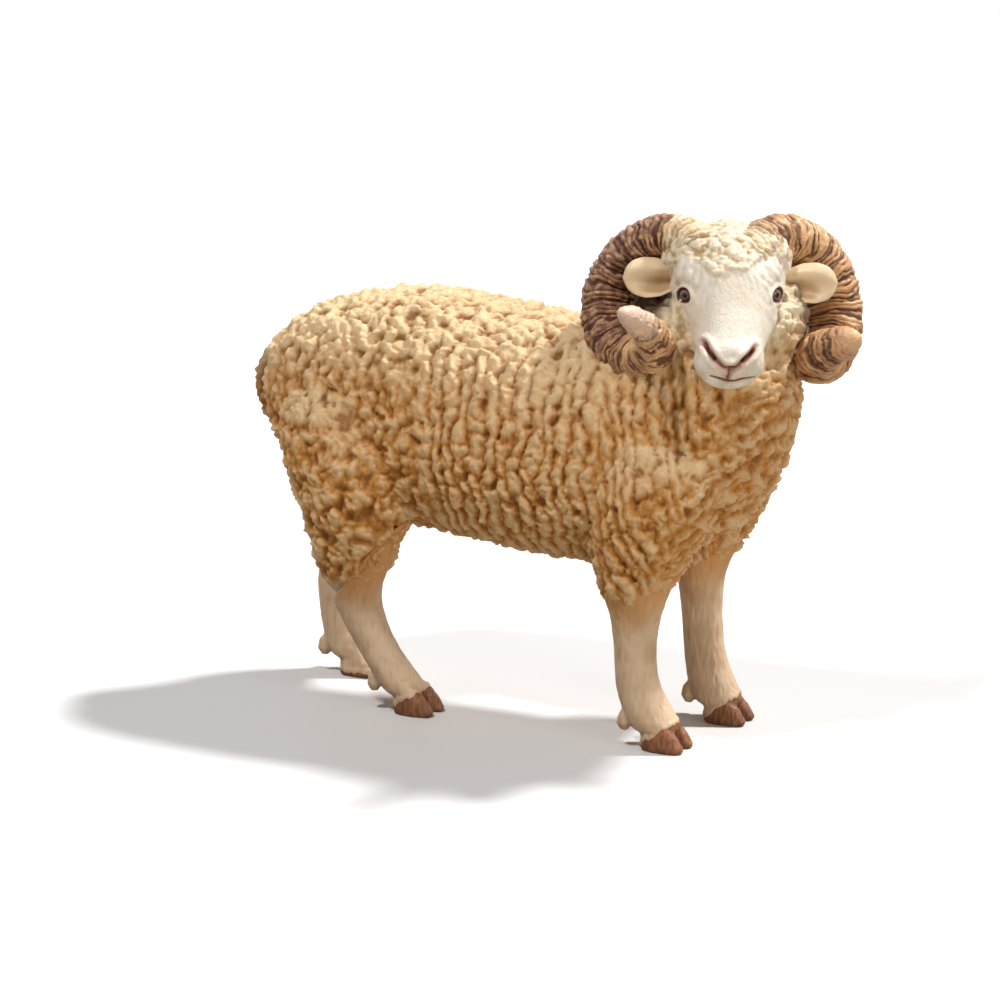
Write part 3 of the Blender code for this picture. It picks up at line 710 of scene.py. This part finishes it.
# Sections of the head from the back of the skull to the lips, in millimetres from the skull's
# middle: forward, sideways, height, half depth, half width, and lean in degrees.
HEAD_SECTIONS = (
    (-9.1, 0.0, 1.3, 5.3, 5.0, 12),
    (-6.2, 0.0, 1.2, 7.8, 8.0, 8),
    (-1.3, 0.0, 0.4, 9.2, 9.4, -4),
    (2.8, 0.0, -1.2, 9.4, 9.2, -20),
    (5.4, 0.0, -3.6, 8.2, 8.2, -33),
    (8.7, -0.3, -6.9, 6.2, 6.5, -40),
    (11.7, -0.6, -9.6, 5.0, 5.5, -42),
    (14.2, -0.8, -11.7, 4.4, 5.4, -40),
    (16.0, -0.9, -13.0, 3.0, 4.2, -36),
)
# Swellings of the face: middle, radii and tilt.
SWELLINGS = (
    ((4.2, -5.4, 2.2), (4.0, 3.6, 3.2), 15),
    ((4.2, 5.0, 2.1), (4.0, 3.6, 3.2), 15),
    ((0.3, -7.2, 3.6), (3.9, 3.2, 4.0), 0),
    ((0.3, 7.2, 3.4), (3.9, 3.2, 4.0), 0),
    ((2.4, -5.6, 4.9), (3.2, 3.8, 3.6), 0),
    ((2.4, 5.6, 4.7), (3.2, 4.0, 3.6), 0),
    ((6.0, -0.2, 0.6), (6.2, 4.4, 3.4), 42),
    ((11.6, -0.7, -5.9), (6.5, 3.2, 2.6), 44),
    ((14.3, -3.6, -10.9), (3.0, 2.9, 3.2), 10),
    ((14.3, 1.9, -11.2), (3.0, 2.9, 3.2), 10),
    ((15.6, -0.9, -9.3), (2.3, 3.3, 2.2), 20),
    ((13.5, -0.4, -13.7), (2.6, 3.2, 1.7), 0),
    ((4.5, -6.3, -6.6), (4.0, 2.4, 4.4), 20),
    ((4.5, 6.3, -6.6), (4.0, 2.4, 4.4), 20),
)
# Lines of the muzzle and the fringe's lower edge: sideways and height.
NOSTRIL_LINES = (
    ((-4.76, -7.95), (-4.19, -8.9), (-3.39, -10.02), (-2.26, -11.06), (-0.99, -11.39)),
    ((2.99, -8.6), (2.13, -9.4), (1.04, -10.35), (0.11, -10.99), (-0.99, -11.39)),
)
PHILTRUM_LINE = ((-1.09, -11.3), (-1.16, -12.3), (-1.22, -13.4))
MOUTH_LINE = ((-3.9, -13.2), (-2.65, -13.6), (-1.06, -13.8), (0.84, -13.7), (3.2, -13.4))
FRINGE_SIDE = (-12, -8.9, -7.5, -5.6, -4.1, -3.0, -2.2, -0.9, 0.9, 2.6, 3.9, 5.8, 7.1, 8.9, 12)
FRINGE_HEIGHT = (1.5, 2.7, 4.8, 4.3, 3.1, 2.2, 2.0, 3.1, 3.0, 3.3, 4.2, 4.7, 4.2, 4.4, 3.0)
# The eyes: forward, outward and height of each ball, the way that it looks, and how far its iris
# is shifted from there.
EYE_PLACE = (6.05, 6.7, -1.3)
EYE_AIM = (0.78, 0.62, 0.03)
IRIS_SHIFT = 0.12
EYE_SUBDIVISIONS = 5
# Stains of the face's hair and painted shade between its hairs; crest and hollow of the cap's
# wool, the hollow partly painted shade.
FACE_STAIN = (0.72, 0.60, 0.45)
FACE_SHADE = (0.56, 0.42, 0.28)
CAP_WOOL = ((0.82, 0.70, 0.52), (0.50, 0.34, 0.17))
# The iris's two browns, its rim and the pupil.
IRIS_BROWNS = ((0.13, 0.075, 0.052), (0.25, 0.165, 0.125))
IRIS_RIM = (0.03, 0.015, 0.01)
PUPIL = (0.006, 0.005, 0.005)


def eye_frame(side):
    """The middle of an eye and its own forward, sideways and upward directions, in the head."""
    forward, outward, height = EYE_PLACE
    middle = np.array((forward, side * outward, height))
    ahead = Vector((EYE_AIM[0], side * EYE_AIM[1], EYE_AIM[2])).normalized()
    across = Vector((0, 0, 1)).cross(ahead).normalized()
    upward = ahead.cross(across)
    return middle, np.array((ahead, across, upward))


def head_clay(grain):
    """Skull, cheeks, brows, nose and jaw as one smooth form, in the head's own place."""
    shape = bmesh.new()
    rings = []
    for place, (forward, sway, height, half_depth, half_width, lean) in enumerate(HEAD_SECTIONS):
        middle = Matrix.Translation(Vector((forward, sway, height)) * MM)
        turn = Matrix.Rotation(math.radians(-lean), 4, "Y")
        size = Matrix.Diagonal((1, half_width * MM, half_depth * MM, 1))
        stand = Matrix.Rotation(math.radians(90), 4, "Y")
        capped = place in (0, len(HEAD_SECTIONS) - 1)
        made = bmesh.ops.create_circle(
            shape, cap_ends=capped, radius=1, segments=40, matrix=middle @ turn @ size @ stand
        )
        rings.append(list({edge for vertex in made["verts"] for edge in vertex.link_edges}))
    for first, second in zip(rings, rings[1:]):
        bmesh.ops.bridge_loops(shape, edges=first + second)
    bmesh.ops.recalc_face_normals(shape, faces=shape.faces)
    for egg in SWELLINGS:
        add_egg(shape, *egg)
    return clay("head", mesh_of("head", shape), grain, rounds=14)


class RAM_OT_head(bpy.types.Operator):
    """Model the head: face, muzzle, lids and the woolly cap"""

    bl_idname = "ram.head"
    bl_label = "Head"

    def execute(self, context):
        grain = grain_of("head")
        mesh = head_clay(grain)
        even = round(3 * (GRAINS["head"][1] / grain) ** 2) or 1
        places = read_points(mesh) / MM
        normals = read_normals(mesh)
        forward, sideways, height = places.T
        facing = normals[:, 0]
        lift = np.zeros(len(places))
        line = np.zeros(len(places))
        flat = np.stack([sideways, height], 1)

        snout = ramp(forward, 9.5, 11.5) * ramp(facing, -0.1, 0.25)
        for corners in NOSTRIL_LINES:
            gap = line_distance(flat, corners)
            slit = line_distance(flat, corners[:3])
            lift -= snout * (0.9 * bell(slit, 0.30) + 0.40 * bell(gap, 0.32))
            lift += snout * 0.35 * bell(gap - 0.9, 0.55)
            line = np.maximum(line, snout * np.maximum(bell(slit, 0.30), 0.62 * bell(gap, 0.30)))
        gap = line_distance(flat, PHILTRUM_LINE)
        lift -= snout * 0.4 * bell(gap, 0.26)
        line = np.maximum(line, snout * 0.55 * bell(gap, 0.26))
        gap = line_distance(flat, MOUTH_LINE)
        lift -= snout * (0.5 * bell(gap, 0.24) + 0.25 * bell(gap, 0.8))
        line = np.maximum(line, snout * 0.7 * bell(gap, 0.24))

        for side in SIDES.values():
            middle, axes = eye_frame(side)
            ahead, across, upward = ((places - middle) @ axes.T).T
            near = ramp(ahead, -0.8, 0.4)
            lid = (across / 1.5) ** 2 + (upward / 0.98 + 0.18 * (across / 1.5) ** 2) ** 2
            lift -= near * 1.1 * ramp(lid, 1.3, 0.6)
            lift += near * 0.26 * bell(np.sqrt(lid) - 1.45, 0.3) * np.where(upward > 0, 1, 0.5)
            line = np.maximum(line, near * bell(np.sqrt(lid) - 1.05, 0.24))

        fringe = height - np.interp(sideways, FRINGE_SIDE, FRINGE_HEIGHT)
        fringe += 0.5 * cloud(places, 1.3, 61.0)
        cap = np.where(forward > -1.5, ramp(fringe, -0.25, 0.35), 1.0)
        ruff = ramp(np.abs(sideways), 6.0, 8.2) * ramp(forward, 5.0, 1.5) * ramp(height, 2, -2)
        ruff = np.maximum(ruff, ramp(forward, 4.5, 0.5) * ramp(height, -7, -10))
        stray = wandering(places, 2.0, 0.5)
        curls = 0.7 * knobbly(places, 1.7, 30.0) + 0.6 * curled(places, 1.0, 36.0, (1, 1, 0.8))
        lift += cap * (0.30 + 0.55 * curls)
        tufts = curled(places, 1.3, 33.0, (1, 1, 0.6))
        lift += np.maximum(ruff - cap, 0) * (0.45 * tufts + 0.1)
        bare = (1 - cap) * (1 - ruff)
        fan = stray * (0.45, 1.0, 0.45) + np.outer(0.35 * np.abs(sideways), (0, 0, 1))
        hair = cloud(fan, 0.62, 44.0) + 0.5 * np.abs(cloud(fan, 1.3, 47.0))
        calm = (1 - ramp(forward, 8.5, 12)) * (0.4 + 0.6 * ramp(height, -5.0, -0.5))
        lift += 0.34 * bare * calm * hair
        lift = blurred(mesh, lift, 1)
        write_points(mesh, (places + normals * lift[:, None]) * MM)
        write_points(mesh, blurred(mesh, read_points(mesh), even - 1, 0.3))
        mesh.transform(HEAD_PLACE)
        write_value(mesh, "line", line)
        write_value(mesh, "wool", np.maximum(cap, ruff * 0.8))
        write_value(mesh, "hollow", ramp(np.where(cap > 0.3, curls, tufts), 0.8, -0.8))
        write_value(mesh, "hair", hair)
        gaps = [line_distance(flat, corners) for corners in (*NOSTRIL_LINES, PHILTRUM_LINE)]
        nose = np.min(gaps, axis=0)
        write_value(mesh, "blush", ramp(forward, 10.5, 13.5) * ramp(nose, 1.1, 0.1))
        piece = object_of("face", mesh)
        finish_piece(piece, ["head"], face_paint(context.scene.ram_head))
        return {"FINISHED"}


def face_paint(settings):
    paint = Paint("face_paint")
    line = paint.value_of("line")
    wool = paint.value_of("wool")
    hollow = paint.value_of("hollow")
    hair = paint.value_of("hair")
    speck = paint.grain(0.7)
    stain = paint.grain(6.0, detail=2)
    colour = paint.mix(paint.between(stain, 0.4, 0.7) * 0.5, settings.hair, FACE_STAIN)
    # Painted shade: the face is darker where its hair's relief is low.
    colour = paint.mix(paint.between(hair, 0.1, -0.7) * 0.3, colour, FACE_SHADE)
    # The cap's hollows are painted darker, partly painted shade.
    depth = paint.between(hollow + (speck - 0.5) * 0.3, 0.35, 0.95)
    colour = paint.mix(wool, colour, paint.mix(depth, *CAP_WOOL))
    colour = paint.mix(paint.value_of("blush") * 0.75, colour, settings.blush)
    red = paint.mix(0.5, settings.blush, settings.line)
    colour = paint.mix(paint.between(line, 0.15, 0.5), colour, red)
    colour = paint.mix(paint.between(line, 0.55, 0.9), colour, settings.line)
    strands = paint.grain(0.4, stretch=(1, 1, 2.2), twist=0.8)
    relief = paint.bump(strands, 0.22, 0.8)
    return paint.wear(base_color=colour, roughness=0.36 + speck * 0.15, normal=relief)


class RAM_OT_eyes(bpy.types.Operator):
    """Make the two glossy eyeballs"""

    bl_idname = "ram.eyes"
    bl_label = "Eyes"

    def execute(self, context):
        settings = context.scene.ram_head
        material = eye_paint()
        for word, side in SIDES.items():
            middle, (ahead, across, upward) = eye_frame(side)
            shape = bmesh.new()
            radius = settings.eye_diameter / 2
            bmesh.ops.create_icosphere(shape, subdivisions=EYE_SUBDIVISIONS, radius=radius)
            mesh = mesh_of(f"eye_{word}", shape)
            places = read_points(mesh)
            gaze = places / radius
            look = Vector(ahead) - IRIS_SHIFT * side * Vector(across)
            look = np.array(look.normalized())
            flat = gaze - (gaze @ look)[:, None] * look
            oval = np.hypot(flat @ across, (flat @ upward) * 1.15)
            front = gaze @ look > 0
            write_value(mesh, "iris", np.where(front, oval, 2.0))
            mesh.transform(Matrix.Translation(Vector(middle) * MM))
            mesh.transform(HEAD_PLACE)
            piece = object_of(f"eye_{word}", mesh)
            finish_piece(piece, ["head"], material)
        return {"FINISHED"}


def eye_paint():
    paint = Paint("eye_paint")
    iris = paint.value_of("iris")
    brown = paint.mix(paint.grain(0.4), *IRIS_BROWNS)
    colour = paint.mix(paint.between(iris, 0.66, 0.80), brown, IRIS_RIM)
    colour = paint.mix(paint.between(iris, 0.34, 0.27), colour, PUPIL)
    return paint.wear(base_color=colour, roughness=0.14, coat_weight=0.12)


# Horns

# Each horn is a coil about a middle (forward, outward, height), spread outward by an angle and
# turned from its root to its tip. Radius and outward drift are given at quarters of the way.
# So are its half thickness, of the thickness in the settings, and how much wider it is than thick.
# The last entry says whether its middle part is painted darker, partly as its own paint and
# partly as painted shade.
HORNS = {
    "horn_right": {
        "middle": (4.76, 14.26, -3.36), "spread": 47.0, "turn": (-13.1, 281.0),
        "radius": (10.60, 10.15, 9.05, 8.10, 7.90), "drift": (-8.6, -5.4, -1.9, 1.5, 15.0),
        "taper": (0.52, 0.55, 0.56, 0.48, 0.24), "oval": (1.10, 1.25, 1.38, 1.15, 1.05),
        "shade_and_dark_paint": 1.0,
    },
    "horn_left": {
        "middle": (0.21, 13.67, -6.23), "spread": 37.2, "turn": (-24.0, 256.0),
        "radius": (13.70, 11.80, 9.30, 6.20, 5.30), "drift": (-6.0, -3.3, -1.0, 1.9, 12.2),
        "taper": (0.52, 0.57, 0.58, 0.54, 0.28), "oval": (1.10, 1.22, 1.32, 1.15, 1.05),
        "shade_and_dark_paint": 0.0,
    },
}
# How much further each coil runs back into the skull, as a share of its length.
ROOT_SHARE = -0.07
HORN_GRIDS = ((220, 40), (560, 80))
# Stains, the two umbers of the darker middle, which is partly painted shade, crest and hollow of
# the worn root, and the tip.
HORN_STAIN = (0.46, 0.23, 0.10)
HORN_UMBERS = ((0.22, 0.10, 0.052), (0.54, 0.30, 0.17))
HORN_WORN = ((0.80, 0.64, 0.42), (0.42, 0.24, 0.11))
HORN_TIP = (0.78, 0.56, 0.43)


def through(values, share):
    """The smooth curve through evenly spaced values, at shares of the way along."""
    last = len(values) - 1
    total = np.zeros_like(share)
    for place, value in enumerate(values):
        weight = np.ones_like(share)
        for other in range(last + 1):
            if other != place:
                weight = weight * (share * last - other) / (place - other)
        total += value * weight
    return total


def horn_line(name, side, share):
    """Points of a horn's middle line and the coil's axis, in the head, in millimetres."""
    horn = HORNS[name]
    forward, outward, height = horn["middle"]
    spread = math.radians(horn["spread"])
    back = np.array((-math.cos(spread), side * math.sin(spread), 0))
    axis = np.array((math.sin(spread), side * math.cos(spread), 0))
    start, end = horn["turn"]
    turn = np.radians(start + (end - start) * share)
    around = np.outer(np.cos(turn), (0, 0, 1)) + np.outer(np.sin(turn), back)
    middle = np.array((forward, side * outward, height))
    radius = through(horn["radius"], share)[:, None]
    drift = through(horn["drift"], share)[:, None]
    return middle + around * radius + axis * drift, axis


class RAM_OT_horns(bpy.types.Operator):
    """Roll the two coiled, tapering horns and carve their ridges"""

    bl_idname = "ram.horns"
    bl_label = "Horns"

    def execute(self, context):
        settings = context.scene.ram_horns
        material = horn_paint(settings)
        for word, side in SIDES.items():
            name = f"horn_{word}"
            mesh = self.roll(name, side, settings)
            piece = object_of(f"ridged_{name}", mesh)
            finish_piece(piece, [name], material)
        return {"FINISHED"}

    def roll(self, name, side, settings):
        """A grid rolled into a tube along the coil, with ridges across it."""
        shape = bmesh.new()
        steps, points = HORN_GRIDS[1]
        bmesh.ops.create_grid(shape, x_segments=steps, y_segments=points, size=0.5)
        mesh = mesh_of(name, shape)
        grid = read_points(mesh)
        share = ROOT_SHARE + (grid[:, 0] + 0.5) * (1 - ROOT_SHARE)
        turn = (grid[:, 1] + 0.5) * 2 * np.pi
        middle, axis = horn_line(name, side, share)
        ahead = horn_line(name, side, share + 0.001)[0] - middle
        ahead /= np.linalg.norm(ahead, axis=1)[:, None]
        upright = np.cross(ahead, axis)
        upright /= np.linalg.norm(upright, axis=1)[:, None]
        across = np.cross(upright, ahead)
        rounds = np.stack([np.cos(turn), np.sin(turn)], 1)

        walk = np.linspace(ROOT_SHARE, 1, 800)
        line = horn_line(name, side, walk)[0]
        lengths = np.concatenate([[0], np.cumsum(np.linalg.norm(np.diff(line, axis=0), axis=1))])
        along = np.interp(share, walk, lengths)
        seed = 40.0 * side
        wrap = np.stack([rounds[:, 0] * 1.6, rounds[:, 1] * 1.6, along / 2.6], 1)
        shift = 0.8 * cloud(wrap, 1.0, seed) + 0.3 * cloud(wrap * (2, 2, 2), 1.0, seed + 5)
        shift += 0.25 * rounds[:, 0] * side
        spacing = settings.ridge_spacing / MM
        ridge = np.sqrt(pleats(along / spacing + shift, 1.0))
        broad = np.sqrt(pleats(along / spacing / 3.3 + 0.5 * shift, 1.0))
        strength = np.clip(0.75 + 0.8 * cloud(wrap * (1.3, 1.3, 0.9), 1.0, seed + 9), 0.15, 1.2)
        scales = np.abs(cloud(wrap * (2.6, 2.6, 2.0), 1.0, seed + 13))
        fade = ramp(share, 1.0, 0.92)
        height = (ridge - 0.75) * strength + 0.8 * (broad - 0.75) + 0.5 * (scales - 0.2)
        carve = settings.relief / MM * fade * height
        carve += 0.08 * cloud(wrap * (5, 5, 2.2), 1.0, seed + 21)
        horn = HORNS[name]
        half = through(horn["taper"], share) * settings.thickness / MM
        tip = np.clip((1 - share) / 0.045, 0, 1)
        half = half * np.clip(np.sqrt(tip * (2 - tip)), 0.02, 1)
        wide = half * through(horn["oval"], share)
        ready = middle + across * (rounds[:, 0] * (wide + carve))[:, None]
        ready += upright * (rounds[:, 1] * (half + carve))[:, None]
        write_points(mesh, ready * MM)
        write_value(mesh, "hollow", ramp(height, 0.15, -0.55) * fade)
        write_value(mesh, "along", share)
        # Partly painted shade: whether the horn's middle is painted darker.
        write_value(mesh, "shade_and_dark_paint", np.full(len(share), horn["shade_and_dark_paint"]))
        mesh.transform(HEAD_PLACE)
        shape = bmesh.new()
        shape.from_mesh(mesh)
        bmesh.ops.remove_doubles(shape, verts=shape.verts, dist=MM / 200)
        close_openings(shape)
        return mesh_of(name, shape)


def horn_paint(settings):
    paint = Paint("horn_paint")
    hollow = paint.value_of("hollow")
    along = paint.value_of("along")
    streak = paint.grain(1.3, detail=4)
    stain = paint.grain(6.0, detail=2)
    own = paint.value_of("shade_and_dark_paint")
    # Partly painted shade: the right horn's middle is painted darker, toward the umbers.
    shade_and_dark_paint = own * paint.between(along, 0.04, 0.12) * paint.between(along, 0.70, 0.45)
    crest = paint.mix(paint.between(stain, 0.35, 0.7), settings.crest, HORN_STAIN)
    umber = paint.mix(paint.between(streak, 0.60, 0.38), *HORN_UMBERS)
    colour = paint.mix(paint.between(stain + shade_and_dark_paint * 0.6, 0.5, 0.95), crest, umber)
    # Grooves painted toward the recess colour, partly painted shade.
    depth = hollow + (streak - 0.5) * 0.5
    colour = paint.mix(paint.between(depth, 0.10, 0.95) * 0.85, colour, settings.recess)
    # The worn root's hollows are painted darker, partly painted shade.
    worn = paint.mix(hollow * 0.8, *HORN_WORN)
    root = along - own * 0.035 + (streak - 0.5) * 0.08
    colour = paint.mix(paint.between(root, 0.02, -0.03), colour, worn)
    tip = paint.between(along + (streak - 0.5) * 0.14, 0.88, 0.98)
    colour = paint.mix(tip * (0.1 + own * 0.8), colour, HORN_TIP)
    relief = paint.bump(paint.grain(0.5, detail=4), 0.22, 0.8)
    return paint.wear(base_color=colour, roughness=0.18 + hollow * 0.4, normal=relief)


# Ears

# Forward, outward and height of each ear's root in the head.
EAR_ROOTS = {"right": (0.7, 7.1, 0.8), "left": (0.7, 7.8, -0.2)}
# The way that an ear points, and its length, width and thickness.
EAR_AIM = (0.20, 1.0, 0.02)
EAR_SIZE = (10.2, 6.8, 2.2)
EAR_SUBDIVISIONS = 6
# How wide an ear is along its length, as shares of its width.
EAR_SHARES = (0, 0.2, 0.42, 0.66, 0.84, 0.94, 1)
EAR_WIDTHS = (0.5, 0.66, 0.94, 1, 0.82, 0.52, 0)
# The ear's two skin colours and the tan of its inside, painted shade in the ear's hollow.
EAR_SKIN = ((0.80, 0.62, 0.40), (0.66, 0.46, 0.26))
EAR_TAN = (0.44, 0.26, 0.12)


class RAM_OT_ears(bpy.types.Operator):
    """Make the two smooth cupped ears"""

    bl_idname = "ram.ears"
    bl_label = "Ears"

    def execute(self, context):
        material = ear_paint()
        for word, side in SIDES.items():
            shape = bmesh.new()
            bmesh.ops.create_icosphere(shape, subdivisions=EAR_SUBDIVISIONS, radius=1)
            mesh = mesh_of(f"ear_{word}", shape)
            ball = read_points(mesh)
            rounds = np.sqrt(np.clip(1 - ball[:, 0] ** 2, 1e-9, 1))
            wide, thick = ball[:, 1] / rounds, ball[:, 2] / rounds
            share = np.clip((ball[:, 0] + 1) / 2, 0, 1)
            length, width, depth = EAR_SIZE
            swell = blurred(mesh, np.interp(share, EAR_SHARES, EAR_WIDTHS), 10)
            fold = ramp(wide, 0.55, -0.55)
            cup = 2.4 * (wide**2 - 0.55) * np.interp(share, (0, 0.5, 1), (1.3, 1.0, 0.3)) * fold
            cup += 0.5 * bell(wide - 0.5, 0.5) * ramp(share, 0.97, 0.6)
            # Painted shade: where the ear's hollow lies, to be painted tan.
            hollow = ramp(-thick, -0.1, 0.5) * ramp(1 - np.abs(wide), 0.05, 0.4) * fold
            hollow *= ramp(share, 0.95, 0.45)
            places = np.stack([
                share * length,
                wide * swell * width / 2,
                -cup * swell + thick * depth / 2 * np.clip(swell + 0.2, 0, 1),
            ], 1)
            aim = Vector((EAR_AIM[0], side * EAR_AIM[1], EAR_AIM[2])).normalized()
            upward = Vector((-0.25, 0, 1))
            back = aim.cross(upward).normalized() * side
            upward = back.cross(aim) * side
            forward, outward, height = EAR_ROOTS[word]
            root = np.array((forward, side * outward, height))
            axes = np.array((aim, upward, -back))
            ready = root + places @ axes
            write_points(mesh, ready * MM)
            write_value(mesh, "inside", hollow)
            mesh.transform(HEAD_PLACE)
            shape = bmesh.new()
            shape.from_mesh(mesh)
            bmesh.ops.recalc_face_normals(shape, faces=shape.faces)
            shape.to_mesh(mesh)
            shape.free()
            piece = object_of(f"cupped_ear_{word}", mesh)
            finish_piece(piece, [f"ear_{word}"], material)
        return {"FINISHED"}


def ear_paint():
    paint = Paint("ear_paint")
    stain = paint.grain(3.0)
    inside = paint.value_of("inside")
    colour = paint.mix(stain * 0.6, *EAR_SKIN)
    # Painted shade: the ear's hollow is painted tan.
    tan = paint.between(inside + (stain - 0.5) * 0.5, 0.1, 0.8)
    colour = paint.mix(tan * 0.85, colour, EAR_TAN)
    relief = paint.bump(paint.grain(0.8, detail=2), 0.1, 0.5)
    return paint.wear(base_color=colour, roughness=0.35, normal=relief)


# Studio

# The camera: where it looks, how far round and up it stands in degrees, and how far away.
CAMERA_TARGET = Vector((-0.009146, 0.004021, 0.03734))
CAMERA_ANGLES = (27, 12)
CAMERA_DISTANCE = 0.4802
CAMERA_LENS = 100
CAMERA_SENSOR = 36
# The sun's direction, energy and spread in degrees, then each lamp's place, size and power.
SUN_PLACE = (0.42, 0.47, 1.0)
SUN_ENERGY = 3.6
SUN_SPREAD = 7
LAMPS = {"front": ((-0.12, -0.44, 0.85), 0.12, 4.6), "fill": ((1.0, -0.4, 0.25), 0.4, 3.2)}
LAMP_TARGET = Vector((0, 0, 0.04))
WORLD_STRENGTH = 0.10
# The floor's colour in reflections and to the camera, and where its glow starts and is full.
FLOOR_SHADES = ((0.36, 0.33, 0.28), (0.83, 0.82, 0.81))
GLOW_REACH = (0.17, 0.40)


class RAM_OT_studio(bpy.types.Operator):
    """Set the floor, the lights and the camera"""

    bl_idname = "ram.studio"
    bl_label = "Studio"

    def execute(self, context):
        shape = bmesh.new()
        bmesh.ops.create_grid(shape, x_segments=1, y_segments=1, size=3)
        floor = object_of("floor", mesh_of("floor", shape))
        floor.data.materials.append(self.floor_paint())
        sun = bpy.data.lights.new("sun", "SUN")
        sun.energy = SUN_ENERGY
        sun.angle = math.radians(SUN_SPREAD)
        made = object_of("sun", sun)
        made.rotation_euler = Vector(SUN_PLACE).to_track_quat("Z", "Y").to_euler()
        for name, lamp in LAMPS.items():
            self.light(name, *lamp)
        self.world()
        self.camera()
        context.scene.view_settings.view_transform = "Standard"
        return {"FINISHED"}

    def light(self, name, place, size, power):
        lamp = bpy.data.lights.new(name, "AREA")
        lamp.size = size
        lamp.energy = power
        made = object_of(name, lamp)
        made.location = place
        aim = LAMP_TARGET - Vector(place)
        made.rotation_euler = aim.to_track_quat("-Z", "Y").to_euler()

    def floor_paint(self):
        """Paint that glows to the camera away from the figure, so that the floor fades to white."""
        paint = Paint("floor_paint")
        seen = paint.node("LightPath", output="Is Camera Ray")
        paint.wear(base_color=paint.mix(seen, *FLOOR_SHADES), roughness=0.6)
        reach = paint.node("VectorMath", {"operation": "LENGTH"}, {0: paint.place}, "Value")
        far = paint.between(reach, *GLOW_REACH)
        colour = paint.mix(seen * far, (0.0, 0.0, 0.0), (0.4, 0.4, 0.4))
        glow = paint.node("Emission", None, {"Color": colour, "Strength": 1.0})
        both = paint.node("AddShader")
        adder = both.socket.node
        paint.tree.links.new(paint.shader.outputs[0], adder.inputs[0])
        paint.tree.links.new(glow.socket, adder.inputs[1])
        paint.tree.links.new(both.socket, paint.tree.nodes["Material Output"].inputs[0])
        return paint.material

    def world(self):
        world = bpy.data.worlds.new("studio")
        world.use_nodes = True
        tree = world.node_tree
        path = tree.nodes.new("ShaderNodeLightPath")
        clear = tree.nodes.new("ShaderNodeBackground")
        clear.inputs["Strength"].default_value = 1
        clear.inputs["Color"].default_value = (1, 1, 1, 1)
        soft = tree.nodes["Background"]
        soft.inputs["Color"].default_value = (1, 1, 1, 1)
        soft.inputs["Strength"].default_value = WORLD_STRENGTH
        seen = path.outputs["Is Camera Ray"]
        for other in ("Is Transmission Ray", "Is Glossy Ray"):
            either = tree.nodes.new("ShaderNodeMath")
            either.operation = "MAXIMUM"
            tree.links.new(seen, either.inputs[0])
            tree.links.new(path.outputs[other], either.inputs[1])
            seen = either.outputs[0]
        mixed = tree.nodes.new("ShaderNodeMixShader")
        tree.links.new(seen, mixed.inputs[0])
        tree.links.new(soft.outputs[0], mixed.inputs[1])
        tree.links.new(clear.outputs[0], mixed.inputs[2])
        tree.links.new(mixed.outputs[0], tree.nodes["World Output"].inputs[0])
        bpy.context.scene.world = world

    def camera(self):
        azimuth, elevation = [math.radians(angle) for angle in CAMERA_ANGLES]
        away = Vector((
            math.sin(azimuth) * math.cos(elevation),
            -math.cos(azimuth) * math.cos(elevation),
            math.sin(elevation),
        ))
        lens = bpy.data.cameras.new("camera")
        lens.lens = CAMERA_LENS
        lens.sensor_width = CAMERA_SENSOR
        made = object_of("camera", lens)
        made.location = CAMERA_TARGET + away * CAMERA_DISTANCE
        made.rotation_euler = (-away).to_track_quat("-Z", "Y").to_euler()
        bpy.context.scene.camera = made


class RAM_PT_panel(bpy.types.Panel):
    bl_idname = "VIEW3D_PT_ram"
    bl_label = "Toy Ram"
    bl_space_type = "VIEW_3D"
    bl_region_type = "UI"
    bl_category = "Ram"

    def draw(self, context):
        layout = self.layout
        for group in SETTINGS:
            settings = getattr(context.scene, group)
            for name in settings.bl_rna.properties.keys():
                if name not in ("rna_type", "name"):
                    layout.prop(settings, name)
        for operator in OPERATORS:
            layout.operator(operator.bl_idname)


SETTINGS = {
    "ram_fleece": RamFleeceSettings,
    "ram_legs": RamLegSettings,
    "ram_head": RamHeadSettings,
    "ram_horns": RamHornSettings,
}
OPERATORS = (
    RAM_OT_fleece, RAM_OT_shanks, RAM_OT_head, RAM_OT_eyes, RAM_OT_horns, RAM_OT_ears,
    RAM_OT_studio,
)


def register():
    for kind in (*SETTINGS.values(), *OPERATORS, RAM_PT_panel):
        bpy.utils.register_class(kind)
    for name, kind in SETTINGS.items():
        setattr(bpy.types.Scene, name, bpy.props.PointerProperty(type=kind))


def unregister():
    for name in SETTINGS:
        delattr(bpy.types.Scene, name)
    for kind in reversed((*SETTINGS.values(), *OPERATORS, RAM_PT_panel)):
        bpy.utils.unregister_class(kind)


def main():
    register()
    bpy.ops.ram.fleece()
    bpy.ops.ram.shanks()
    bpy.ops.ram.head()
    bpy.ops.ram.eyes()
    bpy.ops.ram.horns()
    bpy.ops.ram.ears()
    bpy.ops.ram.studio()


if __name__ == "__main__":
    main()
